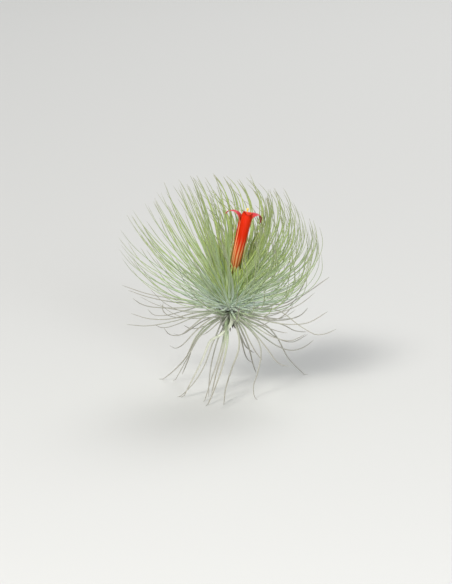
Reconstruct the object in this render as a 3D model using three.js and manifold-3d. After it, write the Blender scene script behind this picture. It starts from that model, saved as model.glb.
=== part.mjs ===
// Air plant: a rosette of wiry leaves round one tubular flower, which stands on the tips of its old leaves.
// Lengths are millimetres, angles are degrees, and places are measured from the crown, where leaves meet.
import * as THREE from "three";
import Module from "manifold-3d";

// Whole plant
const crownHeight = 57; // the crown above the surface that the old leaves stand on
const nodeGap = 0.3; // air between two neighbouring pieces
const leafGap = 0.22; // air kept between two leaves when they are bent clear
const goldenAngle = 137.508; // turn from one leaf to the next
const light = new THREE.Vector3(-0.42, 0.06, 0.9).normalize(); // where growing leaves turn to

// Green leaves, from the oldest at the foot of the crown to the youngest at its top
const greenLeafCount = 172;
const outerLeafCount = 92; // the rest are heart leaves
const greenLeafSteps = [6, 8]; // straight leaves and strongly bent ones
const strongBend = 75; // a leaf that turns further than this is a strongly bent one
const growthSteps = 40; // short straight steps that a leaf's line is grown in
const rosetteLean = 8; // the rosette's axis leans this much to the right
const oldestStart = 87; // start angle from that axis, oldest leaf
const oldestStartRight = -3; // added for a leaf that points to the right, and taken off on the left
const oldestStartFront = -14; // added for a leaf that points at the viewer
const youngestStart = 3; // start angle, youngest leaf
const youngCrowding = 0.84; // below 1, more of the leaves are upright ones
const startScatter = 13;
const azimuthScatter = 22;
const leafLengths = [84, 92, 77]; // oldest, in its prime, youngest
const prime = 0.3; // the age of the longest leaves, 0 for the oldest and 1 for the youngest
const lengthScatter = 0.14;
const turnToLight = 0.8; // share of the angle between its start and the light that a leaf turns through
const extraCurl = [3, 18]; // it turns this much more, on the left and on the right
const straightInFront = 0.4; // a leaf that points at the viewer turns this share less
const turnPower = [2, 3.2]; // a leaf turns most towards its tip: power of the share of its length
const leafSway = 12; // sideways swing, at most half of this to a side
const swayTurn = 4; // radians of that swing from root to tip
const tipCrowding = 0.92; // points crowd a little towards the tip, where a leaf bends
const flowerRoom = [1, 10]; // leaves part this wide, from the flower's foot to its mouth
const partedSpan = [0.3, 1.3]; // the stretch of the flower that they show, as shares of its height
const furthestBefore = 2; // a leaf further back than this passes behind the flower
const partingTurn = 2.5; // a leaf that hides the flower starts this much more to the side, again and again
const partingDrop = 1.2; // and this much lower
const mostPartings = 30;
const tuftCount = 40; // leaf tips gather in tufts
const tuftPull = 0.4;
const tuftReach = 8; // no tip moves further than this to its tuft
const tuftPower = 1.6; // the rest of the leaf follows its tip: power of the share of its length
const tuftAzimuth = 50; // of the first tuft
const tuftRoot = new THREE.Vector3(0, 0, 10);
const tuftLength = 88;
const firstTuft = 1000; // number of the first tuft in the draws

// Leaf thickness: distance from the middle line to the three corners
const leafRootRadius = 1.02;
const leafTipRadius = 0.42;
const leafTaper = 0.75;
const tipStart = 0.965; // the last ring, as a share of the length, before the point

// Bending leaves clear of each other
const bendRounds = 60;
const bendTolerance = 0.02;
const longestMove = 0.6; // of a point, in one round
const solidPush = 0.7; // share of the lacking room that a leaf moves off a solid in one round
const leafPush = 0.4; // the same for each of two leaves
const widestNeed = 1.25; // half of the widest room that two leaves need
const rootHold = 0.05; // keeps a push finite next to a held root
const crossedApart = 0.02; // two middle lines closer than this are pushed apart square to both

// Crown: the swollen foot of the rosette, as [radius, height]
const outerCrownProfile = [[3.1, -0.2], [5, 1.5], [6.2, 5], [6.9, 10.4]];
const outerCrownFloor = -0.3;
const outerCrownLip = 0.4;
const outerCrownCup = 5.2; // the heart sits in a conical cup of the outer crown, this high on the axis
const heartCrownProfile = [[7.1, 12.2], [7.5, 15.5], [7, 18.6], [5.6, 20.6]];
const heartCrownFloor = 6.4;
const crownSides = 12;
const outerLevels = [2.2, 9.2]; // heights at which leaves leave the crown
const heartLevels = [13, 18.8];
const rootDepth = 1.5; // leaves start this deep in the crown

// Old stem under the crown, as [radius, height]
const stemProfile = [[1.3, -11.5], [2.2, -10.6], [2.9, -7.5], [3.8, -4.5], [3.7, -2.2], [2.2, -1]];
const stemSides = 10;

// Cores of the crown and the stem that other leaves keep clear of: a span of height, and the radii there
const stemCores = [
  { span: [1.5, 2.6], radii: [3.6, 4.3], owner: "outer_leaves" },
  { span: [4, 6], radii: [5.3, 5.9], owner: "outer_leaves" },
  { span: [14, 18], radii: [7.7, 7.3], owner: "heart_leaves" },
  { span: [-11, -4.8], radii: [2.4, 3.9], owner: "old_leaves" },
];

// Old leaves
const oldLeafLength = 84;
const oldLeafSteps = 11;
const viewTilt = 12; // their plane of drawing leans back this much
const oldLeafFoot = [0, -2.2];
const restHeight = 0.12; // middle line of a resting tip above the surface, so that its underside is flat
const restReach = 11; // how much further than its first touch a resting tip runs
const restShare = 0.965; // from here to its end it lies on the surface
const restRadius = 0.6;
const leastDepth = 2; // each old leaf is at least this much longer than its route in the plane of drawing
const freeTipHeight = 6; // a free tip stops this far short of the surface, along the line of sight
const forwardPower = 0.6; // a bulge to the front is widest soon after the root

// Flower: a leaning axis from the crown, with distances along it
const flowerFoot = new THREE.Vector3(0, 0, 14.5);
const flowerLean = new THREE.Vector3(0.215, -0.06, 0.975).normalize();
const stalkSpan = [7.2, 8.6];
const stalkRadius = 2;
const stalkFlare = 0.5;
const petalSpan = [9.2, 50];
const stamenTop = 57;
const tubeMouth = 55;
const petalThickness = 0.7;
const petalHalfAngle = 56;
const petalSteps = 15;
const petalAcross = 4;
const lipPower = 2.2; // how late the free end narrows to its tip
const tipWidth = 0.4; // share of the width at the very tip
const flowerSides = 10;
const tubeRadii = [2.5, 4.2]; // at the foot of the petals and at the mouth
const tubePower = 0.6; // below 1, the tube widens soon after its foot

// Cores along the flower's axis that all leaves keep clear of
const flowerCores = [
  { span: [7.5, 14], radii: [4.9, 5.3] },
  { span: [14, 35], radii: [5.3, 4.6] },
  { span: [35, 52], radii: [4.6, 5.5] },
];

// A core in place of a petal's rolled end: below the roll's top, its drop, and past twice the roll's radius
const rollCore = { below: 1, drop: 2, past: 2, radii: [5, 4] };

// The three petals: azimuth, how far they rise past the tube's end, radius of the roll of the free end, the
// angle through which it rolls, and its width as a share of the width in the tube
const petals = [
  { name: "petal_left", azimuth: 158, rise: -0.4, roll: 5.6, turn: 170, width: 0.24, colour: 0xe23410 },
  { name: "petal_right", azimuth: 34, rise: 1.2, roll: 4.6, turn: 210, width: 0.4, colour: 0xe23410 },
  { name: "petal_front", azimuth: -84, rise: 5.8, roll: 2.9, turn: 150, width: 0.58, colour: 0xe5380f },
];

// Routes of the old leaves, seen from the front: side is 1 for a leaf that runs to the back and -1 for one
// that runs to the front, rests marks a tip that stands on the surface, forward bulges the leaf towards the
// viewer, and via holds [across, up] points.
const oldLeafRoutes = [
  { side: 1, via: [[-20, 4.5], [-40, 7.6], [-58, 11], [-76, 17]] },
  { side: 1, via: [[-22, 3.5], [-42, 5.5], [-58, 8.8], [-72, 13.5]] },
  { side: -1, via: [[-6, 2.6], [-15, 3.2], [-32, 1.4], [-50, 1.6], [-60, 3.5], [-66.5, 8]] },
  { side: 1, via: [[-15, 3], [-30, -0.5], [-45, -4.3], [-54, -4.1], [-58.5, 0]] },
  { side: 1, via: [[-12, -1], [-26, -2.8], [-42, -6.8], [-58, -6.6], [-70, -3]] },
  { side: -1, via: [[-10, -1.5], [-27, -5], [-45, -9.4], [-58, -11.2], [-71, -10]] },
  { side: -1, via: [[-10, -2], [-25, -5.5], [-38, -10.6], [-46, -12.2], [-51, -10]] },
  { side: 1, via: [[-9, -1], [-20, -4.5], [-36, -6], [-45, -3.8], [-48, 0], [-47.5, 4.5]] },
  { side: -1, via: [[-9, -1.5], [-17, -4.5], [-27, -12.5], [-34, -17.3], [-41, -16.8], [-44.5, -12.5]] },
  { side: 1, via: [[-10, -5], [-19, -8.5], [-28, -14.5], [-35, -18.6], [-40, -17.8]] },
  { side: -1, via: [[-7, -3.5], [-18, -10], [-26, -17.5], [-32, -23.8], [-37, -26.2], [-40.8, -24.3]] },
  {
    side: 1, rests: true,
    via: [[-9, -7], [-16, -11.5], [-24, -21], [-30, -33], [-40, -44], [-50, -52]],
  },
  {
    side: 1, rests: true,
    via: [[-8, -6], [-15, -12.5], [-23, -21.5], [-28, -31], [-33, -40.5], [-40, -53]],
  },
  { side: 1, via: [[-9, -8], [-18, -15], [-25, -24], [-29, -35], [-33.7, -46.5]] },
  {
    side: -1, rests: true, forward: 26,
    via: [[0.9, -4], [1.2, -10], [-5, -16.8], [-13.5, -22], [-18, -33], [-33.5, -63.5]],
  },
  {
    side: -1, rests: true,
    via: [[-3.5, -7], [-8, -16], [-12, -24], [-17, -38], [-24, -50], [-36.5, -63.2]],
  },
  { side: -1, rests: true, via: [[-3, -7], [-6, -15], [-9.5, -25], [-13.5, -43], [-14.8, -63]] },
  { side: -1, via: [[-2.2, -6], [-2.2, -15], [-4.5, -28], [-8.5, -41.5], [-12.3, -57]] },
  { side: -1, rests: true, via: [[-1.5, -8], [-1.2, -20], [-4.5, -38], [-10, -54], [-16.3, -68.5]] },
  { side: -1, rests: true, via: [[-2.8, -9], [-4.5, -22], [-9, -38], [-13.5, -51], [-18, -66]] },
  { side: -1, rests: true, via: [[2.5, -8], [6, -16], [6.5, -27], [1.5, -41], [-3, -56], [-4, -68]] },
  { side: 1, via: [[4, -9], [8, -20], [10.8, -31], [13, -36], [16.5, -38.7]] },
  { side: 1, via: [[4, -10], [8, -19], [12, -27], [17.5, -31.6]] },
  { side: 1, via: [[5, -8], [9, -16], [14, -28], [16.5, -38], [19, -45.5]] },
  {
    side: -1, rests: true,
    via: [[6, -7], [15, -15], [20.5, -23], [22, -31], [19.5, -44], [16.2, -56], [19.5, -65]],
  },
  { side: -1, via: [[4, -7], [9, -11.5], [13, -20], [18, -29], [22, -34]] },
  { side: -1, via: [[4, -4.5], [9, -8], [17, -16], [26, -27], [34, -37], [41, -38.5]] },
  { side: 1, rests: true, via: [[6, -4], [16, -6.6], [27, -12.3], [34, -20.5], [42, -35], [56, -49]] },
  { side: 1, via: [[8, -6.5], [20, -16], [31, -24.3], [42, -29], [52, -27.5], [60, -22]] },
  { side: -1, via: [[7, -5], [18, -12], [30, -18.8], [42, -21.2], [52, -16.5]] },
  { side: 1, via: [[8, -6], [22, -12], [34, -20.5], [45, -23.4], [56, -18]] },
  { side: -1, via: [[6, 0.6], [20, 1], [34, -0.6], [50, -12], [62, -17.7], [74, -13.5]] },
  { side: 1, via: [[6, -1], [22, -5], [38, -7], [50, -5], [56.3, 1]] },
  { side: -1, via: [[6, -2.5], [20, -6.5], [38, -10], [54, -9], [67.5, -1.2]] },
  { side: 1, via: [[7, -3], [24, -7.5], [38, -11], [47, -15.5], [56, -16.4]] },
  { side: 1, via: [[7, 2], [22, 0], [38, 2], [52, 10], [71, 23]] },
  { side: 1, via: [[7, 1], [20, 3.5], [36, 3.6], [46, 8], [53, 18], [56, 26]] },
  { side: -1, via: [[6, -0.5], [14, -1.5], [26, -6], [31, -7], [38, -3], [43, 3]] },
];

// Thin green blades round the foot of the petals: spans from that foot, and a distance off the tube's wall
const bladeThickness = 0.6;
const bladeFlare = 0.1;
const bladeTip = { width: 0.25, power: 1.6 };
const sepals = { count: 3, span: [-0.3, 7.5], standOff: 0.97, halfAngle: 54, steps: 4, across: 4 };
const bracts = {
  count: 2, span: [-0.6, 5], standOff: 1.9, halfAngle: 80, steps: 3, across: 6, azimuth: 40,
};

// Stamens: six filaments on one ring, each with an anther; their route is [distance, radius] points
const filamentRing = { radii: [1.4, 2.05], lift: 0.4, height: 1.4, sides: 12 };
const filamentCount = 6;
const filamentTurn = 15;
const filamentRadius = 0.33;
const filamentRoute = [[10.1, 1.72], [17.6, 1.35], [36.8, 1.6]];
const filamentTopRadius = 2.1; // distance from the flower's axis
const filamentDepth = 1.7; // the shortest one ends this far below the mouth
const filamentScatter = 1.6;
const antherSpan = [-0.3, 0.9, 2.4]; // along the axis, from the filament's top
const antherRadii = [0.35, 0.62, 0.3];

// Pistil: an ovary as [radius, distance past its foot], a style and three lobes
const ovaryProfile = [[0, 0], [1, 0], [1.12, 2], [0.9, 4], [0.42, 5.4], [0, 5.6]];
const ovarySides = 8;
const styleStart = 4.6;
const stylePast = 3.2; // it ends this far past the mouth
const styleRadii = [0.42, 0.36];
const lobeCount = 3;
const lobeTurn = 45;
const lobeRoute = [[2.8, 0.1], [3.8, 0.42], [4.8, 0.6]]; // [distance past the mouth, radius]
const lobeRadii = [0.36, 0.46, 0.36];

const materials = {
  old_leaves: { color: 0xa9a898, roughness: 0.8 },
  outer_leaves: { color: 0x7f9a78, roughness: 0.7 },
  heart_leaves: { color: 0x95a765, roughness: 0.65 },
  flower_stalk: { color: 0x9aa86a, roughness: 0.6 },
  bract: { color: 0x8c9c5c, roughness: 0.6 },
  sepal: { color: 0xa9b25c, roughness: 0.55 },
  stamens: { color: 0xe8c62a, roughness: 0.6 },
  pistil: { color: 0xd9cf6a, roughness: 0.55 },
};

const radians = THREE.MathUtils.degToRad;
const mix = THREE.MathUtils.lerp;

// A fixed draw between 0 and 1 for item i
function draw(i, salt) {
  const wave = Math.sin(i * 12.9898 + salt * 78.233) * 43758.5453;
  return wave - Math.floor(wave);
}

function direction(azimuth, polar) {
  const flat = Math.sin(radians(polar));
  return new THREE.Vector3(
    flat * Math.cos(radians(azimuth)),
    flat * Math.sin(radians(azimuth)),
    Math.cos(radians(polar)),
  );
}

// The angle from the rosette's axis at which a leaf sets out: age 0 is the oldest, 1 the youngest
function startAngle(age, azimuth) {
  const toRight = Math.cos(radians(azimuth));
  const toViewer = Math.max(0, -Math.sin(radians(azimuth)));
  const oldest = oldestStart + oldestStartRight * toRight + oldestStartFront * toViewer;
  const cosine = mix(Math.cos(radians(oldest)), Math.cos(radians(youngestStart)), age ** youngCrowding);
  return THREE.MathUtils.radToDeg(Math.acos(cosine));
}

// How a leaf grows that sets out in this direction: it turns to the light, most of all near its tip
function growth(k, azimuth, polar) {
  const start = direction(azimuth, polar).applyAxisAngle(new THREE.Vector3(0, 1, 0), radians(rosetteLean));
  const axis = new THREE.Vector3().crossVectors(start, light).normalize();
  const curl = radians(mix(...extraCurl, Math.max(0, start.x)));
  const front = Math.max(0, -start.y) ** 2;
  const turn = (start.angleTo(light) * turnToLight + curl) * (1 - straightInFront * front);
  return { start, axis, turn, power: mix(...turnPower, draw(k, 5)) };
}

// The line that a leaf grows along from its root, in short steps
function growLine(k, azimuth, polar, root, length) {
  const { start, axis, turn, power } = growth(k, azimuth, polar);
  const sway = radians((draw(k, 6) - 0.5) * leafSway);
  const headings = [];
  for (let i = 0; i <= growthSteps; i += 1) {
    const share = i / growthSteps;
    const heading = start.clone().applyAxisAngle(axis, turn * share ** power);
    const swing = sway * Math.sin(share * swayTurn + draw(k, 7) * 2 - 1);
    headings.push(heading.addScaledVector(axis, swing).normalize());
  }
  const line = [root.clone()];
  for (let i = 0; i < growthSteps; i += 1) {
    const step = headings[i].clone().add(headings[i + 1]).multiplyScalar(length / growthSteps / 2);
    line.push(line[i].clone().add(step));
  }
  return line;
}

function tuftTips() {
  const tips = [];
  for (let i = 0; i < tuftCount; i += 1) {
    const azimuth = i * goldenAngle + tuftAzimuth;
    const polar = startAngle((i + 0.5) / tuftCount, azimuth);
    tips.push(growLine(firstTuft + i, azimuth, polar, tuftRoot, tuftLength)[growthSteps]);
  }
  return tips;
}

const tufts = tuftTips();

// Draws the tip of a line to the nearest tuft, and the rest of the line after it
function gatherTip(line) {
  const tip = line[growthSteps];
  let nearest = tufts[0];
  for (const tuft of tufts) {
    if (tuft.distanceTo(tip) < nearest.distanceTo(tip)) {
      nearest = tuft;
    }
  }
  const gather = nearest.clone().sub(tip).multiplyScalar(tuftPull).clampLength(0, tuftReach);
  line.forEach((point, i) => point.addScaledVector(gather, (i / growthSteps) ** tuftPower));
}

function leafLength(k) {
  const age = (k + 0.5) / greenLeafCount;
  const [oldest, longest, youngest] = leafLengths;
  const usual = age < prime
    ? mix(oldest, longest, age / prime)
    : mix(longest, youngest, (age - prime) / (1 - prime));
  return usual * (1 + (draw(k, 4) - 0.6) * lengthScatter);
}

// Height at which green leaf number k leaves the crown
function crownLevel(k) {
  if (k < outerLeafCount) {
    return mix(...outerLevels, k / (outerLeafCount - 1));
  }
  return mix(...heartLevels, (k - outerLeafCount) / (greenLeafCount - outerLeafCount - 1));
}

function crownRadius(level) {
  const profile = [...outerCrownProfile, ...heartCrownProfile];
  const above = profile.findIndex(([, height]) => height > level);
  const [low, high] = [profile[above - 1], profile[above]];
  return mix(low[0], high[0], (level - low[1]) / (high[1] - low[1]));
}

// As the viewer sees a point: across, up, and away
function seen(point) {
  const tilt = radians(viewTilt);
  return {
    across: point.x,
    up: point.z * Math.cos(tilt) + point.y * Math.sin(tilt),
    away: point.y * Math.cos(tilt) - point.z * Math.sin(tilt),
  };
}

function unseen(across, up, away) {
  const tilt = radians(viewTilt);
  return new THREE.Vector3(
    across,
    up * Math.sin(tilt) + away * Math.cos(tilt),
    up * Math.cos(tilt) - away * Math.sin(tilt),
  );
}

// True where a leaf passes before the open part of the flower
function coversFlower(line) {
  const foot = seen(flowerFoot);
  const mouth = seen(flowerFoot.clone().addScaledVector(flowerLean, stamenTop));
  return line.some((point) => {
    const place = seen(point);
    const along = (place.up - foot.up) / (mouth.up - foot.up);
    const middle = mix(foot.across, mouth.across, along);
    const room = mix(...flowerRoom, THREE.MathUtils.clamp(along, 0, 1));
    const open = along > partedSpan[0] && along < partedSpan[1];
    return point.y < furthestBefore && open && Math.abs(place.across - middle) < room;
  });
}

// A few points along a line, closer together near the tip
function spread(line, steps) {
  const points = [];
  for (let i = 0; i <= steps; i += 1) {
    const place = (i / steps) ** tipCrowding * growthSteps;
    const before = Math.min(Math.floor(place), growthSteps - 1);
    points.push(line[before].clone().lerp(line[before + 1], place - before));
  }
  return points;
}

function greenLeaf(k) {
  const azimuth = k * goldenAngle + (draw(k, 1) - 0.5) * azimuthScatter;
  const age = (k + 0.5) / greenLeafCount;
  const polar = startAngle(age, azimuth) + (draw(k, 2) - 0.5) * startScatter;
  const root = direction(azimuth, 90).multiplyScalar(crownRadius(crownLevel(k)) - rootDepth);
  root.z = crownLevel(k);
  const away = Math.cos(radians(azimuth)) > 0.1 ? 1 : -1;
  let line = growLine(k, azimuth, polar, root, leafLength(k));
  gatherTip(line);
  for (let parting = 1; parting <= mostPartings && coversFlower(line); parting += 1) {
    const aside = azimuth + away * partingTurn * parting;
    line = growLine(k, aside, polar + partingDrop * parting, root, leafLength(k));
  }
  const bent = growth(k, azimuth, polar).turn > radians(strongBend);
  return {
    node: k < outerLeafCount ? "outer_leaves" : "heart_leaves",
    points: spread(line, greenLeafSteps[bent ? 1 : 0]),
  };
}

// An old leaf follows its route and runs to the front or the back for the rest of its length
function oldLeaf(route) {
  const flat = [oldLeafFoot, ...route.via].map(([across, up]) => new THREE.Vector3(across, up, 0));
  const outline = new THREE.CatmullRomCurve3(flat, false, "centripetal");
  const drawn = outline.getLength();
  const end = route.via[route.via.length - 1][1];
  const tilt = radians(viewTilt);
  const toSurface = (end * Math.cos(tilt) + crownHeight) / Math.sin(tilt);
  const spare = route.side * Math.sqrt(Math.max(oldLeafLength, drawn + leastDepth) ** 2 - drawn ** 2);
  const depth = route.rests ? toSurface + restReach : Math.min(spare, toSurface - freeTipHeight);
  const shares = Array.from({ length: oldLeafSteps + 1 }, (step, i) => i / oldLeafSteps);
  if (route.rests) {
    shares.splice(oldLeafSteps, 0, restShare);
  }
  const forward = route.forward ?? 0;
  const points = shares.map((share) => {
    const place = outline.getPointAt(share);
    return unseen(place.x, place.y, depth * share - forward * share ** forwardPower * (1 - share));
  });
  return { node: "old_leaves", rests: route.rests === true, points };
}

function leafRadius(share) {
  return mix(leafRootRadius, leafTipRadius, share ** leafTaper);
}

// The nearest places of two straight stretches, each as a share of its stretch
function nearestShares(a, b, c, d) {
  const u = b.clone().sub(a);
  const v = d.clone().sub(c);
  const w = a.clone().sub(c);
  const uu = u.dot(u);
  const uv = u.dot(v);
  const vv = v.dot(v);
  const uw = u.dot(w);
  const vw = v.dot(w);
  const bottom = uu * vv - uv * uv;
  let s = bottom > 1e-9 ? THREE.MathUtils.clamp((uv * vw - vv * uw) / bottom, 0, 1) : 0.5;
  const t = THREE.MathUtils.clamp((uv * s + vw) / vv, 0, 1);
  s = THREE.MathUtils.clamp((uv * t - uw) / uu, 0, 1);
  return [s, t];
}

// Solid things that leaves keep clear of: the crown, the stem and the flower
function keepClear() {
  const axis = (z) => new THREE.Vector3(0, 0, z);
  const low = stemCores.map((core) => ({ ...core, from: axis(core.span[0]), to: axis(core.span[1]) }));
  const high = flowerCores.map((core) => {
    return { ...core, from: flowerPoint(core.span[0]), to: flowerPoint(core.span[1]) };
  });
  const rolled = petals.map((petal) => {
    const width = 2 * petal.roll + rollCore.past;
    const height = petalSpan[1] + petal.rise + petal.roll - rollCore.below;
    const end = flowerPoint(height - rollCore.drop, width, petal.azimuth);
    return { from: flowerPoint(height), to: end, radii: rollCore.radii };
  });
  return [...low, ...high, ...rolled];
}

// Moves the two ends of stretch i of a leaf so that the place at this share of it moves by the whole push
function push(moves, i, share, by) {
  const near = Math.min(1, i / 2) * (1 - share);
  const far = Math.min(1, (i + 1) / 2) * share;
  const weight = near * near + far * far + rootHold;
  moves[i].addScaledVector(by, near / weight);
  moves[i + 1].addScaledVector(by, far / weight);
}

// Pushes a leaf off one solid, and returns how far it reached into it
function pushOffSolid(leaf, moves, solid) {
  const points = leaf.points;
  const count = points.length - 1;
  let worst = 0;
  for (let i = 0; i < count; i += 1) {
    const [s, t] = nearestShares(points[i], points[i + 1], solid.from, solid.to);
    const apart = points[i].clone().lerp(points[i + 1], s).sub(solid.from.clone().lerp(solid.to, t));
    const lack = mix(...solid.radii, t) + leafRadius((i + s) / count) + leafGap - apart.length();
    if (lack > 0) {
      worst = Math.max(worst, lack);
      push(moves, i, s, apart.normalize().multiplyScalar(lack * solidPush));
    }
  }
  return worst;
}

// Pushes two leaves apart, and returns how far they reached into each other
function pushApart(one, oneMoves, other, otherMoves) {
  const pa = one.points;
  const pb = other.points;
  const na = pa.length - 1;
  const nb = pb.length - 1;
  const first = one.node === other.node ? 1 : 0; // leaves of one piece are joined at their roots
  let worst = 0;
  for (let i = first; i < na; i += 1) {
    for (let j = first; j < nb; j += 1) {
      const reach = pa[i].distanceTo(pa[i + 1]) + pb[j].distanceTo(pb[j + 1]) + 2 * widestNeed;
      if (pa[i].distanceTo(pb[j]) > reach) {
        continue;
      }
      const [s, t] = nearestShares(pa[i], pa[i + 1], pb[j], pb[j + 1]);
      const apart = pa[i].clone().lerp(pa[i + 1], s).sub(pb[j].clone().lerp(pb[j + 1], t));
      const lack = leafRadius((i + s) / na) + leafRadius((j + t) / nb) + leafGap - apart.length();
      if (lack > 0) {
        worst = Math.max(worst, lack);
        if (apart.length() < crossedApart) {
          apart.crossVectors(pa[i + 1].clone().sub(pa[i]), pb[j + 1].clone().sub(pb[j]));
        }
        apart.normalize().multiplyScalar(lack * leafPush);
        push(oneMoves, i, s, apart);
        push(otherMoves, j, t, apart.negate());
      }
    }
  }
  return worst;
}

// Bends leaves until none crosses another or a solid, with their roots held
function bendClear(leaves) {
  const solids = keepClear();
  let worst = Infinity;
  for (let round = 0; round < bendRounds && worst > bendTolerance; round += 1) {
    worst = 0;
    const moves = leaves.map((leaf) => leaf.points.map(() => new THREE.Vector3()));
    const boxes = leaves.map((leaf) => {
      return new THREE.Box3().setFromPoints(leaf.points).expandByScalar(widestNeed);
    });
    leaves.forEach((leaf, a) => {
      for (const solid of solids) {
        if (solid.owner !== leaf.node) {
          worst = Math.max(worst, pushOffSolid(leaf, moves[a], solid));
        }
      }
      for (let b = a + 1; b < leaves.length; b += 1) {
        if (boxes[a].intersectsBox(boxes[b])) {
          worst = Math.max(worst, pushApart(leaf, moves[a], leaves[b], moves[b]));
        }
      }
    });
    leaves.forEach((leaf, l) => {
      leaf.points.forEach((point, i) => point.add(moves[l][i].clampLength(0, longestMove)));
      settle(leaf);
    });
  }
}

// Keeps a leaf above the surface, and lays a resting tip on it
function settle(leaf) {
  const last = leaf.points.length - 1;
  leaf.points.forEach((point, i) => {
    const rests = leaf.rests && i >= last - 1;
    point.z = Math.max(point.z, (rests ? restHeight : leafRadius(i / last) + nodeGap) - crownHeight);
  });
}

function solidOf(wasm, vertices, triangles) {
  const vertProperties = Float32Array.from(vertices);
  const triVerts = Uint32Array.from(triangles);
  return new wasm.Manifold(new wasm.Mesh({ numProp: 3, vertProperties, triVerts }));
}

function solidOfGeometry(wasm, geometry) {
  const places = geometry.getAttribute("position");
  const found = new Map();
  const vertices = [];
  const ids = [];
  for (let i = 0; i < places.count; i += 1) {
    const point = [places.getX(i), places.getY(i), places.getZ(i)];
    const key = point.map((value) => Math.round(value * 1e4)).join(",");
    if (!found.has(key)) {
      found.set(key, found.size);
      vertices.push(...point);
    }
    ids.push(found.get(key));
  }
  const corners = geometry.index ? Array.from(geometry.index.array, (i) => ids[i]) : ids;
  const triangles = [];
  for (let i = 0; i < corners.length; i += 3) {
    const [a, b, c] = corners.slice(i, i + 3);
    if (a !== b && b !== c && c !== a) {
      triangles.push(a, b, c);
    }
  }
  return solidOf(wasm, vertices, triangles);
}

// A tapering rod with a closed root and a pointed or a round-ended tip
function rod(wasm, points, radii, sides, pointed = true) {
  const vertices = [];
  const triangles = [];
  const last = points.length - 1;
  const normal = new THREE.Vector3(0.31, -0.42, -0.85);
  const ringCount = last + 1;
  for (let i = 0; i < ringCount; i += 1) {
    const before = points[Math.max(0, i - 1)];
    const after = points[Math.min(last, i + 1)];
    const tangent = after.clone().sub(before).normalize();
    normal.addScaledVector(tangent, -normal.dot(tangent)).normalize();
    const across = new THREE.Vector3().crossVectors(tangent, normal);
    const centre = points[i].clone();
    if (pointed && i === last) {
      centre.lerpVectors(points[i - 1], points[i], tipShare(points));
    }
    for (let corner = 0; corner < sides; corner += 1) {
      const angle = (2 * Math.PI * corner) / sides;
      const place = centre.clone().addScaledVector(normal, Math.cos(angle) * radii[i]);
      place.addScaledVector(across, Math.sin(angle) * radii[i]);
      vertices.push(place.x, place.y, place.z);
    }
  }
  const root = vertices.length / 3;
  vertices.push(...points[0].toArray());
  const tip = root + 1;
  vertices.push(...points[last].toArray());
  for (let corner = 0; corner < sides; corner += 1) {
    const next = (corner + 1) % sides;
    triangles.push(root, next, corner);
    for (let i = 0; i < ringCount - 1; i += 1) {
      const a = i * sides + corner;
      const b = i * sides + next;
      const c = a + sides;
      const d = b + sides;
      triangles.push(a, b, d, a, d, c);
    }
    const top = (ringCount - 1) * sides;
    triangles.push(top + corner, top + next, tip);
  }
  return solidOf(wasm, vertices, triangles);
}

// How far up its last stretch a needle keeps its thickness before it runs to a point
function tipShare(points) {
  return 1 - (1 - tipStart) * (points.length - 1);
}

function leafSolid(wasm, leaf) {
  const last = leaf.points.length - 1;
  const radii = leaf.points.map((point, i) => {
    return leaf.rests ? Math.max(restRadius, leafRadius(i / last)) : leafRadius(i / last);
  });
  return rod(wasm, leaf.points, radii, 3, !leaf.rests);
}

function latheSolid(wasm, profile, sides) {
  const outline = profile.map(([radius, height]) => new THREE.Vector2(radius, height));
  const geometry = new THREE.LatheGeometry(outline, sides);
  geometry.rotateX(Math.PI / 2);
  return solidOfGeometry(wasm, geometry);
}

function outerCrown(wasm) {
  const [rimRadius, rimHeight] = outerCrownProfile[outerCrownProfile.length - 1];
  const cup = [[rimRadius - outerCrownLip, rimHeight], [0, outerCrownCup]];
  return latheSolid(wasm, [[0, outerCrownFloor], ...outerCrownProfile, ...cup], crownSides);
}

function heartCrown(wasm) {
  const top = heartCrownProfile[heartCrownProfile.length - 1][1];
  return latheSolid(wasm, [[0, heartCrownFloor], ...heartCrownProfile, [0, top]], crownSides);
}

function stem(wasm) {
  const [low, high] = [stemProfile[0][1], stemProfile[stemProfile.length - 1][1]];
  return latheSolid(wasm, [[0, low], ...stemProfile, [0, high]], stemSides);
}

function fuse(wasm, solids) {
  return wasm.Manifold.union(solids);
}

function meshOf(solid, name, look) {
  const { vertProperties, triVerts } = solid.getMesh();
  const geometry = new THREE.BufferGeometry();
  geometry.setAttribute("position", new THREE.BufferAttribute(Float32Array.from(vertProperties), 3));
  geometry.setIndex(new THREE.BufferAttribute(Uint32Array.from(triVerts), 1));
  geometry.computeVertexNormals();
  const mesh = new THREE.Mesh(geometry, new THREE.MeshStandardMaterial({ metalness: 0, ...look }));
  mesh.name = name;
  return mesh;
}

// Everything under the surface is cut away, which leaves the flat spots that the plant stands on
function underground(wasm) {
  const [width, depth] = [400, 20];
  const block = new THREE.BoxGeometry(width, width, depth);
  block.translate(0, 0, -crownHeight - depth / 2);
  return solidOfGeometry(wasm, block);
}

function flowerPoint(distance, radius = 0, azimuth = 0) {
  const outward = direction(azimuth, 90);
  outward.addScaledVector(flowerLean, -outward.dot(flowerLean)).normalize();
  return flowerFoot.clone().addScaledVector(flowerLean, distance).addScaledVector(outward, radius);
}

// Radius of the flower's tube at a distance along its axis
function tubeRadius(distance) {
  const share = THREE.MathUtils.clamp((distance - petalSpan[0]) / (petalSpan[1] - petalSpan[0]), 0, 1);
  return mix(...tubeRadii, share ** tubePower);
}

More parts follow.
